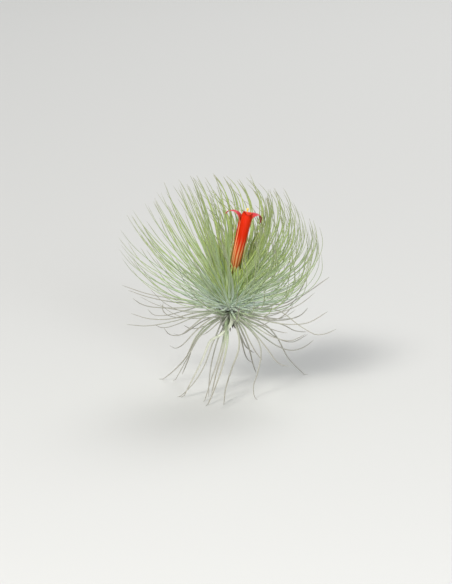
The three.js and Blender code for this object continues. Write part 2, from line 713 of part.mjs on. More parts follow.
// A thin curved blade from two skins: surface(along, across) gives a point and its outward normal
function blade(wasm, surface, steps, across, thickness) {
  const vertices = [];
  const triangles = [];
  const index = (skin, i, j) => (skin * (steps + 1) + i) * (across + 1) + j;
  for (let skin = 0; skin < 2; skin += 1) {
    for (let i = 0; i <= steps; i += 1) {
      for (let j = 0; j <= across; j += 1) {
        const { point, normal } = surface(i / steps, (2 * j) / across - 1);
        point.addScaledVector(normal, (skin - 0.5) * thickness);
        vertices.push(point.x, point.y, point.z);
      }
    }
  }
  const face = (a, b, c, d) => triangles.push(a, c, b, a, d, c);
  for (let i = 0; i < steps; i += 1) {
    for (let j = 0; j < across; j += 1) {
      face(index(1, i, j), index(1, i + 1, j), index(1, i + 1, j + 1), index(1, i, j + 1));
      face(index(0, i, j), index(0, i, j + 1), index(0, i + 1, j + 1), index(0, i + 1, j));
    }
    face(index(0, i, 0), index(0, i + 1, 0), index(1, i + 1, 0), index(1, i, 0));
    face(index(1, i, across), index(1, i + 1, across), index(0, i + 1, across), index(0, i, across));
  }
  for (let j = 0; j < across; j += 1) {
    face(index(0, 0, j), index(1, 0, j), index(1, 0, j + 1), index(0, 0, j + 1));
    face(index(0, steps, j + 1), index(1, steps, j + 1), index(1, steps, j), index(0, steps, j));
  }
  return solidOf(wasm, vertices, triangles);
}

// A petal lies in the tube's wall up to the mouth, and its free end rolls back outside
function petalSurface(petal) {
  const tubeLength = petalSpan[1] - petalSpan[0] + petal.rise;
  const freeLength = petal.roll * radians(petal.turn);
  return (along, across) => {
    const reach = along * (tubeLength + freeLength);
    const share = THREE.MathUtils.clamp((reach - tubeLength) / freeLength, 0, 1);
    const distance = petalSpan[0] + Math.min(reach, tubeLength);
    const radius = tubeRadius(distance);
    const angle = mix(0, radians(petal.turn), share);
    const roll = petal.roll;
    const out = radius + roll * (1 - Math.cos(angle));
    const up = distance + roll * Math.sin(angle);
    const lip = mix(tipWidth, 1, Math.sqrt(1 - share ** lipPower));
    const halfAngle = petalHalfAngle * mix(1, petal.width, Math.sqrt(share)) * lip;
    const sweep = petal.azimuth + across * halfAngle * (radius / out) ** share;
    const point = flowerPoint(up, out, sweep);
    const outward = flowerPoint(up, out + 1, sweep).sub(point);
    const normal = outward.multiplyScalar(Math.cos(angle)).addScaledVector(flowerLean, -Math.sin(angle));
    return { point, normal: normal.normalize() };
  };
}

// Sepals and bracts lie round the foot of the tube and narrow to a tip
function sheathSurface(kind, azimuth) {
  return (along, across) => {
    const distance = petalSpan[0] + mix(...kind.span, along);
    const sweep = azimuth + across * kind.halfAngle * mix(1, bladeTip.width, along ** bladeTip.power);
    const radius = tubeRadius(distance) + kind.standOff + bladeFlare * along ** 2;
    const point = flowerPoint(distance, radius, sweep);
    const normal = flowerPoint(distance, 1, sweep).sub(flowerPoint(distance)).normalize();
    return { point, normal };
  };
}

function sheath(wasm, kind, azimuth) {
  return blade(wasm, sheathSurface(kind, azimuth), kind.steps, kind.across, bladeThickness);
}

// A round body about the flower's axis
function flowerBody(wasm, profile, sides) {
  const outline = profile.map(([radius, distance]) => new THREE.Vector2(radius, distance));
  const geometry = new THREE.LatheGeometry(outline, sides);
  const turn = new THREE.Quaternion().setFromUnitVectors(new THREE.Vector3(0, 1, 0), flowerLean);
  geometry.applyQuaternion(turn);
  geometry.translate(...flowerFoot.toArray());
  return solidOfGeometry(wasm, geometry);
}

function stalk(wasm) {
  const [foot, top] = stalkSpan;
  const outline = [[0, foot], [stalkRadius, foot], [stalkRadius + stalkFlare, top], [0, top]];
  return flowerBody(wasm, outline, flowerSides);
}

function stamens(wasm) {
  const foot = petalSpan[0] + filamentRing.lift;
  const [inner, outer] = filamentRing.radii;
  const top = foot + filamentRing.height;
  const ring = [[inner, foot], [outer, foot], [outer, top], [inner, top], [inner, foot]];
  const parts = [flowerBody(wasm, ring, filamentRing.sides)];
  for (let i = 0; i < filamentCount; i += 1) {
    const azimuth = (360 / filamentCount) * i + filamentTurn;
    const end = tubeMouth - filamentDepth + filamentScatter * draw(i, 41);
    const route = [...filamentRoute, [end, filamentTopRadius]];
    const points = route.map(([distance, radius]) => flowerPoint(distance, radius, azimuth));
    parts.push(rod(wasm, points, points.map(() => filamentRadius), 3, false));
    const anther = antherSpan.map((past) => flowerPoint(end + past, filamentTopRadius, azimuth));
    parts.push(rod(wasm, anther, antherRadii, 4, false));
  }
  return fuse(wasm, parts);
}

function pistil(wasm) {
  const foot = stalkSpan[1] + nodeGap;
  const ovary = ovaryProfile.map(([radius, past]) => [radius, foot + past]);
  const style = [foot + styleStart, tubeMouth + stylePast].map((distance) => flowerPoint(distance));
  const parts = [flowerBody(wasm, ovary, ovarySides), rod(wasm, style, styleRadii, 5, false)];
  for (let i = 0; i < lobeCount; i += 1) {
    const azimuth = (360 / lobeCount) * i + lobeTurn;
    const lobe = lobeRoute.map(([past, radius]) => flowerPoint(tubeMouth + past, radius, azimuth));
    parts.push(rod(wasm, lobe, lobeRadii, 4, false));
  }
  return fuse(wasm, parts);
}

async function buildPlant() {
  const wasm = await Module();
  wasm.setup();
  const leaves = oldLeafRoutes.map(oldLeaf);
  for (let k = 0; k < greenLeafCount; k += 1) {
    leaves.push(greenLeaf(k));
  }
  leaves.forEach(settle);
  bendClear(leaves);
  const plant = new THREE.Group();
  const add = (name, solid, look) => plant.add(meshOf(solid, name, look));
  const withLeaves = (name, core) => {
    const own = leaves.filter((leaf) => leaf.node === name);
    return fuse(wasm, [core, ...own.map((leaf) => leafSolid(wasm, leaf))]);
  };
  const standing = withLeaves("old_leaves", stem(wasm)).subtract(underground(wasm));
  add("old_leaves", standing, materials.old_leaves);
  add("outer_leaves", withLeaves("outer_leaves", outerCrown(wasm)), materials.outer_leaves);
  add("heart_leaves", withLeaves("heart_leaves", heartCrown(wasm)), materials.heart_leaves);
  add("flower_stalk", stalk(wasm), materials.flower_stalk);
  for (const petal of petals) {
    const solid = blade(wasm, petalSurface(petal), petalSteps, petalAcross, petalThickness);
    add(petal.name, solid, { color: petal.colour, roughness: 0.4 });
  }
  for (let i = 0; i < sepals.count; i += 1) {
    add(`sepal_${i + 1}`, sheath(wasm, sepals, petals[i].azimuth + 60), materials.sepal);
  }
  for (let i = 0; i < bracts.count; i += 1) {
    add(`bract_${i + 1}`, sheath(wasm, bracts, bracts.azimuth + 180 * i), materials.bract);
  }
  add("stamens", stamens(wasm), materials.stamens);
  add("pistil", pistil(wasm), materials.pistil);
  return plant;
}

const plant = await buildPlant();
const extent = new THREE.Box3().setFromObject(plant);
const middle = extent.getCenter(new THREE.Vector3());
plant.position.set(-middle.x, -middle.y, -extent.min.z);

export default plant;
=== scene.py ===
# Air plant: wiry leaves round one red flower, standing on the tips of its old leaves
import math

import bpy
import numpy as np
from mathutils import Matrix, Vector


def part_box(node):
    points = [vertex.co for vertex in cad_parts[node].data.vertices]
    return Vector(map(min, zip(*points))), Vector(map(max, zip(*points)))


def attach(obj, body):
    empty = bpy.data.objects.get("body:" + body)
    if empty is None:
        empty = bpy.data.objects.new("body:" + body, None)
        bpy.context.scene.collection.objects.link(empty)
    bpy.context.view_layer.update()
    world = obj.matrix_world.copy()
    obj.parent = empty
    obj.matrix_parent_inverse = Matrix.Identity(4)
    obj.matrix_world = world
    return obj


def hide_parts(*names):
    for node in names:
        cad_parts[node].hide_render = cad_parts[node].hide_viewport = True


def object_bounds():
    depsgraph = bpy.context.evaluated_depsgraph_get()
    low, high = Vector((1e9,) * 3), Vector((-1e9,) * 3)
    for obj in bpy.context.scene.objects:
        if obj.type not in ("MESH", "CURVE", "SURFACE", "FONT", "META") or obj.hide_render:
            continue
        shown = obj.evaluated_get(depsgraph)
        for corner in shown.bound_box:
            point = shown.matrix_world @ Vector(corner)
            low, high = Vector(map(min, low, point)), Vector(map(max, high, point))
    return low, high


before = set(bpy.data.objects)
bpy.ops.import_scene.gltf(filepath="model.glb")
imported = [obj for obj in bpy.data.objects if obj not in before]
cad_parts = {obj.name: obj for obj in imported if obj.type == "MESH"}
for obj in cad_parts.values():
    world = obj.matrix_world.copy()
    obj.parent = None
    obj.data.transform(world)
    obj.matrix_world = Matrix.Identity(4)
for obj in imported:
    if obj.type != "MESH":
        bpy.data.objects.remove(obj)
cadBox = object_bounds()
mm = 0.001
print("frame loaded")


# Node trees

class Wire:
    # a socket that sums and products can be written with
    def __init__(self, net, socket):
        self.net = net
        self.socket = socket

    def maths(self, operation, *parts):
        vectors = [isinstance(part, Wire) and part.socket.type == "VECTOR" for part in parts]
        if operation == "MULTIPLY" and any(vectors) and not all(vectors):
            vector, number = parts if vectors[0] else parts[::-1]
            return self.net.add("ShaderNodeVectorMath", {"operation": "SCALE"}, {0: vector, "Scale": number})
        kind = "ShaderNodeVectorMath" if any(vectors) else "ShaderNodeMath"
        return self.net.add(kind, {"operation": operation}, dict(enumerate(parts)))

    def __add__(self, other):
        return self.maths("ADD", self, other)

    def __radd__(self, other):
        return self.maths("ADD", other, self)

    def __sub__(self, other):
        return self.maths("SUBTRACT", self, other)

    def __rsub__(self, other):
        return self.maths("SUBTRACT", other, self)

    def __mul__(self, other):
        return self.maths("MULTIPLY", self, other)

    def __rmul__(self, other):
        return self.maths("MULTIPLY", other, self)

    def __pow__(self, power):
        return self.maths("POWER", self, power)

    def clip(self, low=0.0, high=1.0):
        return self.net.add("ShaderNodeClamp", {}, {"Value": self, "Min": low, "Max": high})

    def ease(self, low, high):
        # 0 below low, 1 above high, smooth between
        settings = {"interpolation_type": "SMOOTHSTEP"}
        sockets = {"Value": self, "From Min": low, "From Max": high}
        return self.net.add("ShaderNodeMapRange", settings, sockets)

    def sine(self):
        return self.net.add("ShaderNodeMath", {"operation": "SINE"}, {0: self})


def linear(red, green, blue):
    # a colour given as 0 to 255, as the shaders want it
    return tuple(
        c / 12.92 if c <= 0.04045 else ((c + 0.055) / 1.055) ** 2.4
        for c in (value / 255 for value in (red, green, blue))
    )


def setStops(ramp, stops):
    # sets the colours of a ramp, given as 0 to 255
    while len(ramp.elements) < len(stops):
        ramp.elements.new(0.5)
    for element, (place, colour) in zip(ramp.elements, stops):
        element.position = place
        element.color = (*linear(*colour), 1)


def asColour(value):
    return value if isinstance(value, Wire) or len(value) == 4 else (*value, 1)


class Net:
    # a node tree that nodes are added to
    def __init__(self, tree):
        self.tree = tree

    def add(self, kind, settings=None, sockets=None, output=0):
        node = self.tree.nodes.new(kind)
        for name, value in (settings or {}).items():
            if name == "stops":
                setStops(node.color_ramp, value)
            else:
                setattr(node, name, value)
        for key, value in (sockets or {}).items():
            if isinstance(value, Wire):
                self.tree.links.new(value.socket, node.inputs[key])
            else:
                node.inputs[key].default_value = value
        return Wire(self, node.outputs[output]) if len(node.outputs) else node

    def mixColour(self, factor, first, second):
        sockets = {0: factor, 6: asColour(first), 7: asColour(second)}
        return self.add("ShaderNodeMix", {"data_type": "RGBA"}, sockets, 2)

    def lay(self, factor, colour, tone):
        # lays a tone, given as 0 to 255, over a colour
        return self.mixColour(factor, colour, linear(*tone))

    def ramp(self, factor, stops):
        return self.add("ShaderNodeValToRGB", {"stops": stops}, {"Fac": factor})

    def attribute(self, name):
        return self.add("ShaderNodeAttribute", {"attribute_name": name}, {}, "Fac")


# Where the crown is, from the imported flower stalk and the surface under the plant

# millimetres from the crown, and along the flower's axis from its foot
flowerSizes = {
    "foot": (0, 0, 14.5), "lean": (0.215, -0.06, 0.975), "stalk": (7.2, 8.6), "petals": (9.2, 50),
    "mouth": 55, "stamenTop": 57, "tube": (2.5, 4.2), "tubePower": 0.6, "halfAngle": 56,
}
crownHeight = 57
flowerFoot = np.array(flowerSizes["foot"], float)
flowerLean = np.array(flowerSizes["lean"]) / np.linalg.norm(flowerSizes["lean"])
stalkLow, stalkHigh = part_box("flower_stalk")
stalkTop = flowerLean * flowerSizes["stalk"][1] * mm
crown = np.array([
    (stalkLow.x + stalkHigh.x) / 2 - stalkTop[0],
    (stalkLow.y + stalkHigh.y) / 2 - stalkTop[1],
    cadBox[0].z + crownHeight * mm,
])


def atCrown(points):
    # millimetres from the crown, to metres in the frame
    return crown + np.asarray(points, float) * mm


# Camera, as the photograph was taken

cameraView = {
    "elevation": 12, "distance": 2.5, "frameHeight": 0.4088, "across": -2.45, "up": 12.25,
    "sensor": 36, "clip": 50,
}


def addCamera(view):
    tilt = math.radians(view["elevation"])
    back = Vector((0, -math.cos(tilt), math.sin(tilt)))
    rise = Vector((0, math.sin(tilt), math.cos(tilt)))
    target = Vector(crown) + Vector((view["across"] * mm, 0, 0)) + rise * view["up"] * mm
    data = bpy.data.cameras.new("camera")
    data.sensor_width = view["sensor"]
    data.lens = data.sensor_width * view["distance"] / view["frameHeight"]
    data.clip_end = view["clip"]
    camera = bpy.data.objects.new("camera", data)
    camera.location = target + back * view["distance"]
    camera.rotation_mode = "QUATERNION"
    camera.rotation_quaternion = (-back).to_track_quat("-Z", "Y")
    bpy.context.scene.collection.objects.link(camera)
    bpy.context.scene.camera = camera


addCamera(cameraView)
print("camera placed")


# Leaf rule: middle lines of all leaves, in millimetres from the crown

leafSizes = {
    "green": 172, "outer": 92, "goldenAngle": 137.508, "light": (-0.42, 0.06, 0.9), "rosetteLean": 8,
    # angles from the rosette's axis at which leaves set out
    "oldestStart": 87, "oldestStartRight": -3, "oldestStartFront": -14, "youngestStart": 3,
    "youngCrowding": 0.84, "startScatter": 13, "azimuthScatter": 22,
    # lengths of the oldest leaf, of one in its prime and of the youngest
    "lengths": (84, 92, 77), "prime": 0.3, "lengthScatter": 0.14, "usualDraw": 0.6,
    # how a leaf turns to the light and sways
    "growthSteps": 40, "turnToLight": 0.8, "extraCurl": (3, 18), "straightInFront": 0.4,
    "turnPower": (2, 3.2), "sway": 12, "swayTurn": 4, "strongBend": 75, "steps": (6, 8), "tipCrowding": 0.92,
    # how leaves part before the open part of the flower
    "flowerRoom": (1, 10), "partedSpan": (0.3, 1.3), "furthestBefore": 2, "partedRight": 0.1,
    "partingTurn": 2.5, "partingDrop": 1.2, "mostPartings": 30,
    # tufts that the tips gather in
    "tufts": 40, "tuftPull": 0.4, "tuftReach": 8, "tuftPower": 1.6, "tuftAzimuth": 50, "tuftRoot": (0, 0, 10),
    "tuftLength": 88, "firstTuft": 1000,
    "solidRadii": (1.02, 0.42), "taper": 0.75, "rootDepth": 1.5, "outerTop": 11,
}
crownSizes = {
    "outline": [
        (3.1, -0.2), (5, 1.5), (6.2, 5), (6.9, 10.4), (7.1, 12.2), (7.5, 15.5), (7, 18.6), (5.6, 20.6),
    ],
    "outerLevels": (2.2, 9.2), "heartLevels": (13, 18.8),
}
light = np.array(leafSizes["light"]) / np.linalg.norm(leafSizes["light"])


def mix(low, high, share):
    return low + (high - low) * share


def unit(vector):
    return vector / np.linalg.norm(vector)


def draw(i, salt):
    # a fixed draw between 0 and 1 for item i
    wave = math.sin(i * 12.9898 + salt * 78.233) * 43758.5453
    return wave - math.floor(wave)


def direction(azimuth, polar):
    flat = math.sin(math.radians(polar))
    around = math.radians(azimuth)
    return np.array([flat * math.cos(around), flat * math.sin(around), math.cos(math.radians(polar))])


def startAngle(age, azimuth):
    # the angle from the rosette's axis at which a leaf sets out, age 0 for the oldest
    around = math.radians(azimuth)
    oldest = leafSizes["oldestStart"] + leafSizes["oldestStartRight"] * math.cos(around)
    oldest += leafSizes["oldestStartFront"] * max(0, -math.sin(around))
    lowest, highest = (math.cos(math.radians(angle)) for angle in (oldest, leafSizes["youngestStart"]))
    return math.degrees(math.acos(mix(lowest, highest, age ** leafSizes["youngCrowding"])))


def growth(k, azimuth, polar):
    # how a leaf grows that sets out in this direction: it turns to the light, most of all near its tip
    x, y, z = direction(azimuth, polar)
    lean = math.radians(leafSizes["rosetteLean"])
    start = np.array([x * math.cos(lean) + z * math.sin(lean), y, z * math.cos(lean) - x * math.sin(lean)])
    curl = math.radians(mix(*leafSizes["extraCurl"], max(0, start[0])))
    front = max(0, -start[1]) ** 2
    turn = math.acos(np.clip(start @ light, -1, 1)) * leafSizes["turnToLight"] + curl
    return {
        "start": start, "axis": unit(np.cross(start, light)),
        "turn": turn * (1 - leafSizes["straightInFront"] * front),
        "power": mix(*leafSizes["turnPower"], draw(k, 5)),
    }


def growLine(k, azimuth, polar, root, length):
    # the line that a leaf grows along from its root, in short steps
    grown = growth(k, azimuth, polar)
    start, axis = grown["start"], grown["axis"]
    share = np.linspace(0, 1, leafSizes["growthSteps"] + 1)
    angle = (grown["turn"] * share ** grown["power"])[:, None]
    headings = start * np.cos(angle) + np.cross(axis, start) * np.sin(angle)
    sway = math.radians((draw(k, 6) - 0.5) * leafSizes["sway"])
    headings += axis * (sway * np.sin(share * leafSizes["swayTurn"] + draw(k, 7) * 2 - 1))[:, None]
    headings /= np.linalg.norm(headings, axis=1)[:, None]
    steps = (headings[1:] + headings[:-1]) * (length / leafSizes["growthSteps"] / 2)
    return np.vstack([root, root + np.cumsum(steps, axis=0)])


def makeTufts():
    tips = []
    for i in range(leafSizes["tufts"]):
        azimuth = i * leafSizes["goldenAngle"] + leafSizes["tuftAzimuth"]
        polar = startAngle((i + 0.5) / leafSizes["tufts"], azimuth)
        root = np.array(leafSizes["tuftRoot"], float)
        tips.append(growLine(leafSizes["firstTuft"] + i, azimuth, polar, root, leafSizes["tuftLength"])[-1])
    return np.array(tips)


tufts = makeTufts()


def gatherTip(line):
    # draws the tip of a line to the nearest tuft, and the rest of the line after it
    apart = tufts - line[-1]
    gather = apart[np.argmin(np.linalg.norm(apart, axis=1))] * leafSizes["tuftPull"]
    gather *= min(1, leafSizes["tuftReach"] / np.linalg.norm(gather))
    return line + gather * np.linspace(0, 1, len(line))[:, None] ** leafSizes["tuftPower"]


def crownLevel(k):
    outer = leafSizes["outer"]
    if k < outer:
        return mix(*crownSizes["outerLevels"], k / (outer - 1))
    return mix(*crownSizes["heartLevels"], (k - outer) / (leafSizes["green"] - outer - 1))


def crownRadius(level):
    radii, heights = zip(*crownSizes["outline"])
    return float(np.interp(level, heights, radii))


def smoothLine(points, shares):
    # centripetal spline through the points, at these shares of the way
    points = np.asarray(points, float)
    ends = np.vstack([2 * points[0] - points[1], points, 2 * points[-1] - points[-2]])
    place = np.clip(np.asarray(shares, float), 0, 1) * (len(points) - 1)
    piece = np.minimum(place.astype(int), len(points) - 2)
    t = (place - piece)[:, None]
    p0, p1, p2, p3 = (ends[piece + i] for i in range(4))
    d0, d1, d2 = (np.sqrt(np.linalg.norm(b - a, axis=1))[:, None] for a, b in ((p0, p1), (p1, p2), (p2, p3)))
    m1 = ((p1 - p0) / d0 - (p2 - p0) / (d0 + d1) + (p2 - p1) / d1) * d1
    m2 = ((p2 - p1) / d1 - (p3 - p1) / (d1 + d2) + (p3 - p2) / d2) * d1
    return p1 + m1 * t + (3 * (p2 - p1) - 2 * m1 - m2) * t ** 2 + (2 * (p1 - p2) + m1 + m2) * t ** 3


fineSteps = np.linspace(0, 1, 201)


def reachAlong(line):
    # how far along the line each of its points is
    return np.concatenate([[0], np.cumsum(np.linalg.norm(np.diff(line, axis=0), axis=1))])


def evenly(line, shares):
    # points of a line at shares of its length
    reach = reachAlong(line(fineSteps))
    return line(np.interp(np.asarray(shares, float) * reach[-1], reach, fineSteps))


viewTilt = math.radians(cameraView["elevation"])


def seen(points):
    # as the viewer sees a point: across and up
    points = np.atleast_2d(points)
    return points[:, 0], points[:, 2] * math.cos(viewTilt) + points[:, 1] * math.sin(viewTilt)


def unseen(across, up, away):
    # the point that is seen there and lies this far behind the plane of the crown
    sine, cosine = math.sin(viewTilt), math.cos(viewTilt)
    return np.stack([across, up * sine + away * cosine, up * cosine - away * sine], axis=-1)


def coversFlower(line):
    # true where a leaf passes before the open part of the flower
    low, high = leafSizes["partedSpan"]
    (footAcross,), (footUp,) = seen(flowerFoot)
    (mouthAcross,), (mouthUp,) = seen(flowerFoot + flowerLean * flowerSizes["stamenTop"])
    across, up = seen(line)
    along = (up - footUp) / (mouthUp - footUp)
    middle = mix(footAcross, mouthAcross, along)
    room = mix(*leafSizes["flowerRoom"], np.clip(along, 0, 1))
    hides = (along > low) & (along < high) & (abs(across - middle) < room)
    return bool((hides & (line[:, 1] < leafSizes["furthestBefore"])).any())


def leafLength(k):
    age = (k + 0.5) / leafSizes["green"]
    usual = np.interp(age, (0, leafSizes["prime"], 1), leafSizes["lengths"])
    return usual * (1 + (draw(k, 4) - leafSizes["usualDraw"]) * leafSizes["lengthScatter"])


def rootAt(azimuth, level):
    root = direction(azimuth, 90) * (crownRadius(level) - leafSizes["rootDepth"])
    root[2] = level
    return root


def grownLeaf(k, azimuth, polar, level, length):
    # a leaf's line, parted to the side and lowered while it hides the flower
    away = 1 if math.cos(math.radians(azimuth)) > leafSizes["partedRight"] else -1
    root = rootAt(azimuth, level)
    line = gatherTip(growLine(k, azimuth, polar, root, length))
    for parting in range(1, leafSizes["mostPartings"] + 1):
        if not coversFlower(line):
            break
        aside = azimuth + away * leafSizes["partingTurn"] * parting
        line = growLine(k, aside, polar + leafSizes["partingDrop"] * parting, root, length)
    return line


def spread(line, steps):
    # a few points along a line, closer together near the tip
    place = np.linspace(0, 1, steps + 1) ** leafSizes["tipCrowding"] * (len(line) - 1)
    before = np.minimum(place.astype(int), len(line) - 2)
    return mix(line[before], line[before + 1], (place - before)[:, None])


def greenLeaf(k):
    azimuth = k * leafSizes["goldenAngle"] + (draw(k, 1) - 0.5) * leafSizes["azimuthScatter"]
    polar = startAngle((k + 0.5) / leafSizes["green"], azimuth)
    polar += (draw(k, 2) - 0.5) * leafSizes["startScatter"]
    level = crownLevel(k)
    line = grownLeaf(k, azimuth, polar, level, leafLength(k))
    bent = growth(k, azimuth, polar)["turn"] > math.radians(leafSizes["strongBend"])
    points = spread(line, leafSizes["steps"][1 if bent else 0])
    node = "outer_leaves" if k < leafSizes["outer"] else "heart_leaves"
    return {"node": node, "rests": False, "points": points, "azimuth": azimuth, "level": level, "k": k}


oldLeafSizes = {
    "length": 84, "steps": 11, "foot": (0, -2.2), "restHeight": 0.12, "restReach": 11, "restShare": 0.965,
    "surfaceGap": 0.3, "leastDepth": 2, "freeTipHeight": 6, "nearest": 14, "forward": 26, "forwardPower": 0.6,
    # side is 1 for a leaf that runs to the back, rests for a tip on the surface, via [across, up] as seen
    "routes": [
        (1, False, [(-20, 4.5), (-40, 7.6), (-58, 11), (-76, 17)]),
        (1, False, [(-22, 3.5), (-42, 5.5), (-58, 8.8), (-72, 13.5)]),
        (-1, False, [(-6, 2.6), (-15, 3.2), (-32, 1.4), (-50, 1.6), (-60, 3.5), (-66.5, 8)]),
        (1, False, [(-15, 3), (-30, -0.5), (-45, -4.3), (-54, -4.1), (-58.5, 0)]),
        (1, False, [(-12, -1), (-26, -2.8), (-42, -6.8), (-58, -6.6), (-70, -3)]),
        (-1, False, [(-10, -1.5), (-27, -5), (-45, -9.4), (-58, -11.2), (-71, -10)]),
        (-1, False, [(-10, -2), (-25, -5.5), (-38, -10.6), (-46, -12.2), (-51, -10)]),
        (1, False, [(-9, -1), (-20, -4.5), (-36, -6), (-45, -3.8), (-48, 0), (-47.5, 4.5)]),
        (-1, False, [(-9, -1.5), (-17, -4.5), (-27, -12.5), (-34, -17.3), (-41, -16.8), (-44.5, -12.5)]),
        (1, False, [(-10, -5), (-19, -8.5), (-28, -14.5), (-35, -18.6), (-40, -17.8)]),
        (-1, False, [(-7, -3.5), (-18, -10), (-26, -17.5), (-32, -23.8), (-37, -26.2), (-40.8, -24.3)]),
        (1, True, [(-9, -7), (-16, -11.5), (-24, -21), (-30, -33), (-40, -44), (-50, -52)]),
        (1, True, [(-8, -6), (-15, -12.5), (-23, -21.5), (-28, -31), (-33, -40.5), (-40, -53)]),
        (1, False, [(-9, -8), (-18, -15), (-25, -24), (-29, -35), (-33.7, -46.5)]),
        (-1, True, [(0.9, -4), (1.2, -10), (-5, -16.8), (-13.5, -22), (-18, -33), (-33.5, -63.5)]),
        (-1, True, [(-3.5, -7), (-8, -16), (-12, -24), (-17, -38), (-24, -50), (-36.5, -63.2)]),
        (-1, True, [(-3, -7), (-6, -15), (-9.5, -25), (-13.5, -43), (-14.8, -63)]),
        (-1, False, [(-2.2, -6), (-2.2, -15), (-4.5, -28), (-8.5, -41.5), (-12.3, -57)]),
        (-1, True, [(-1.5, -8), (-1.2, -20), (-4.5, -38), (-10, -54), (-16.3, -68.5)]),
        (-1, True, [(-2.8, -9), (-4.5, -22), (-9, -38), (-13.5, -51), (-18, -66)]),
        (-1, True, [(2.5, -8), (6, -16), (6.5, -27), (1.5, -41), (-3, -56), (-4, -68)]),
        (1, False, [(4, -9), (8, -20), (10.8, -31), (13, -36), (16.5, -38.7)]),
        (1, False, [(4, -10), (8, -19), (12, -27), (17.5, -31.6)]),
        (1, False, [(5, -8), (9, -16), (14, -28), (16.5, -38), (19, -45.5)]),
        (-1, True, [(6, -7), (15, -15), (20.5, -23), (22, -31), (19.5, -44), (16.2, -56), (19.5, -65)]),
        (-1, False, [(4, -7), (9, -11.5), (13, -20), (18, -29), (22, -34)]),
        (-1, False, [(4, -4.5), (9, -8), (17, -16), (26, -27), (34, -37), (41, -38.5)]),
        (1, True, [(6, -4), (16, -6.6), (27, -12.3), (34, -20.5), (42, -35), (56, -49)]),
        (1, False, [(8, -6.5), (20, -16), (31, -24.3), (42, -29), (52, -27.5), (60, -22)]),
        (-1, False, [(7, -5), (18, -12), (30, -18.8), (42, -21.2), (52, -16.5)]),
        (1, False, [(8, -6), (22, -12), (34, -20.5), (45, -23.4), (56, -18)]),
        (-1, False, [(6, 0.6), (20, 1), (34, -0.6), (50, -12), (62, -17.7), (74, -13.5)]),
        (1, False, [(6, -1), (22, -5), (38, -7), (50, -5), (56.3, 1)]),
        (-1, False, [(6, -2.5), (20, -6.5), (38, -10), (54, -9), (67.5, -1.2)]),
        (1, False, [(7, -3), (24, -7.5), (38, -11), (47, -15.5), (56, -16.4)]),
        (1, False, [(7, 2), (22, 0), (38, 2), (52, 10), (71, 23)]),
        (1, False, [(7, 1), (20, 3.5), (36, 3.6), (46, 8), (53, 18), (56, 26)]),
        (-1, False, [(6, -0.5), (14, -1.5), (26, -6), (31, -7), (38, -3), (43, 3)]),
    ],
}


def oldLeaf(k, route):
    side, rests, via = route
    outline = [(across, up, 0) for across, up in [oldLeafSizes["foot"], *via]]
    drawn = reachAlong(smoothLine(outline, fineSteps))[-1]
    toSurface = (via[-1][1] * math.cos(viewTilt) + crownHeight) / math.sin(viewTilt)
    steps = oldLeafSizes["steps"]
    shares = np.arange(steps + 1) / steps
    if rests:
        depth = toSurface + oldLeafSizes["restReach"]
        shares = np.insert(shares, steps, oldLeafSizes["restShare"])
    else:
        length = max(oldLeafSizes["length"], drawn + oldLeafSizes["leastDepth"])
        depth = min(side * math.sqrt(length ** 2 - drawn ** 2), toSurface - oldLeafSizes["freeTipHeight"])
    flat = evenly(lambda t: smoothLine(outline, t), shares)
    forward = oldLeafSizes["forward"] if k == oldLeafSizes["nearest"] else 0
    away = depth * shares - forward * shares ** oldLeafSizes["forwardPower"] * (1 - shares)
    return {"node": "old_leaves", "rests": rests, "points": unseen(flat[:, 0], flat[:, 1], away), "k": k}


def solidRadius(share):
    return mix(*leafSizes["solidRadii"], np.asarray(share) ** leafSizes["taper"])


def flowerPoint(distance, radius=0.0, azimuth=0.0):
    outward = direction(azimuth, 90)
    outward = unit(outward - flowerLean * (outward @ flowerLean))
    return flowerFoot + flowerLean * distance + outward * radius


petalSizes = {
    "petal_left": {"azimuth": 158, "rise": -0.4, "roll": 5.6, "turn": 170, "width": 0.24, "blush": 1.0},
    "petal_right": {"azimuth": 34, "rise": 1.2, "roll": 4.6, "turn": 210, "width": 0.4, "blush": 1.0},
    "petal_front": {"azimuth": -84, "rise": 5.8, "roll": 2.9, "turn": 150, "width": 0.58, "blush": 0.1},
}


clearSizes = {
    "rounds": 60, "fineRounds": 16, "enough": 0.02, "gap": 0.22, "near": 2.5,
    "longestMove": 0.6, "offSolid": 0.7, "offLeaf": 0.4, "rootHold": 0.05, "crossed": 0.02,
    # cores of crown and stem: a span of height, the radii there, and the node that they stand for
    "stemCores": [
        ((1.5, 2.6), (3.6, 4.3), "outer_leaves"), ((4, 6), (5.3, 5.9), "outer_leaves"),
        ((14, 18), (7.7, 7.3), "heart_leaves"), ((-11, -4.8), (2.4, 3.9), "old_leaves"),
    ],
    # the same round the flower, along its axis
    "flowerCores": [((7.5, 14), (4.9, 5.3)), ((14, 35), (5.3, 4.6)), ((35, 52), (4.6, 5.5))],
    # a core in each petal's rolled tip
    "roll": {"below": 1, "drop": 2, "past": 2, "radii": (5, 4)},
}


def solidsToClear():
    # round bodies that leaves keep clear of: two ends, the radii there, and the node whose own body it is
    solids = []
    for span, radii, node in clearSizes["stemCores"]:
        low, high = (np.array([0, 0, height], float) for height in span)
        solids.append((low, high, radii, node))
    for span, radii in clearSizes["flowerCores"]:
        solids.append((flowerPoint(span[0]), flowerPoint(span[1]), radii, ""))
    roll = clearSizes["roll"]
    for petal in petalSizes.values():
        height = flowerSizes["petals"][1] + petal["rise"] + petal["roll"] - roll["below"]
        end = flowerPoint(height - roll["drop"], 2 * petal["roll"] + roll["past"], petal["azimuth"])
        solids.append((flowerPoint(height), end, roll["radii"], ""))
    return solids


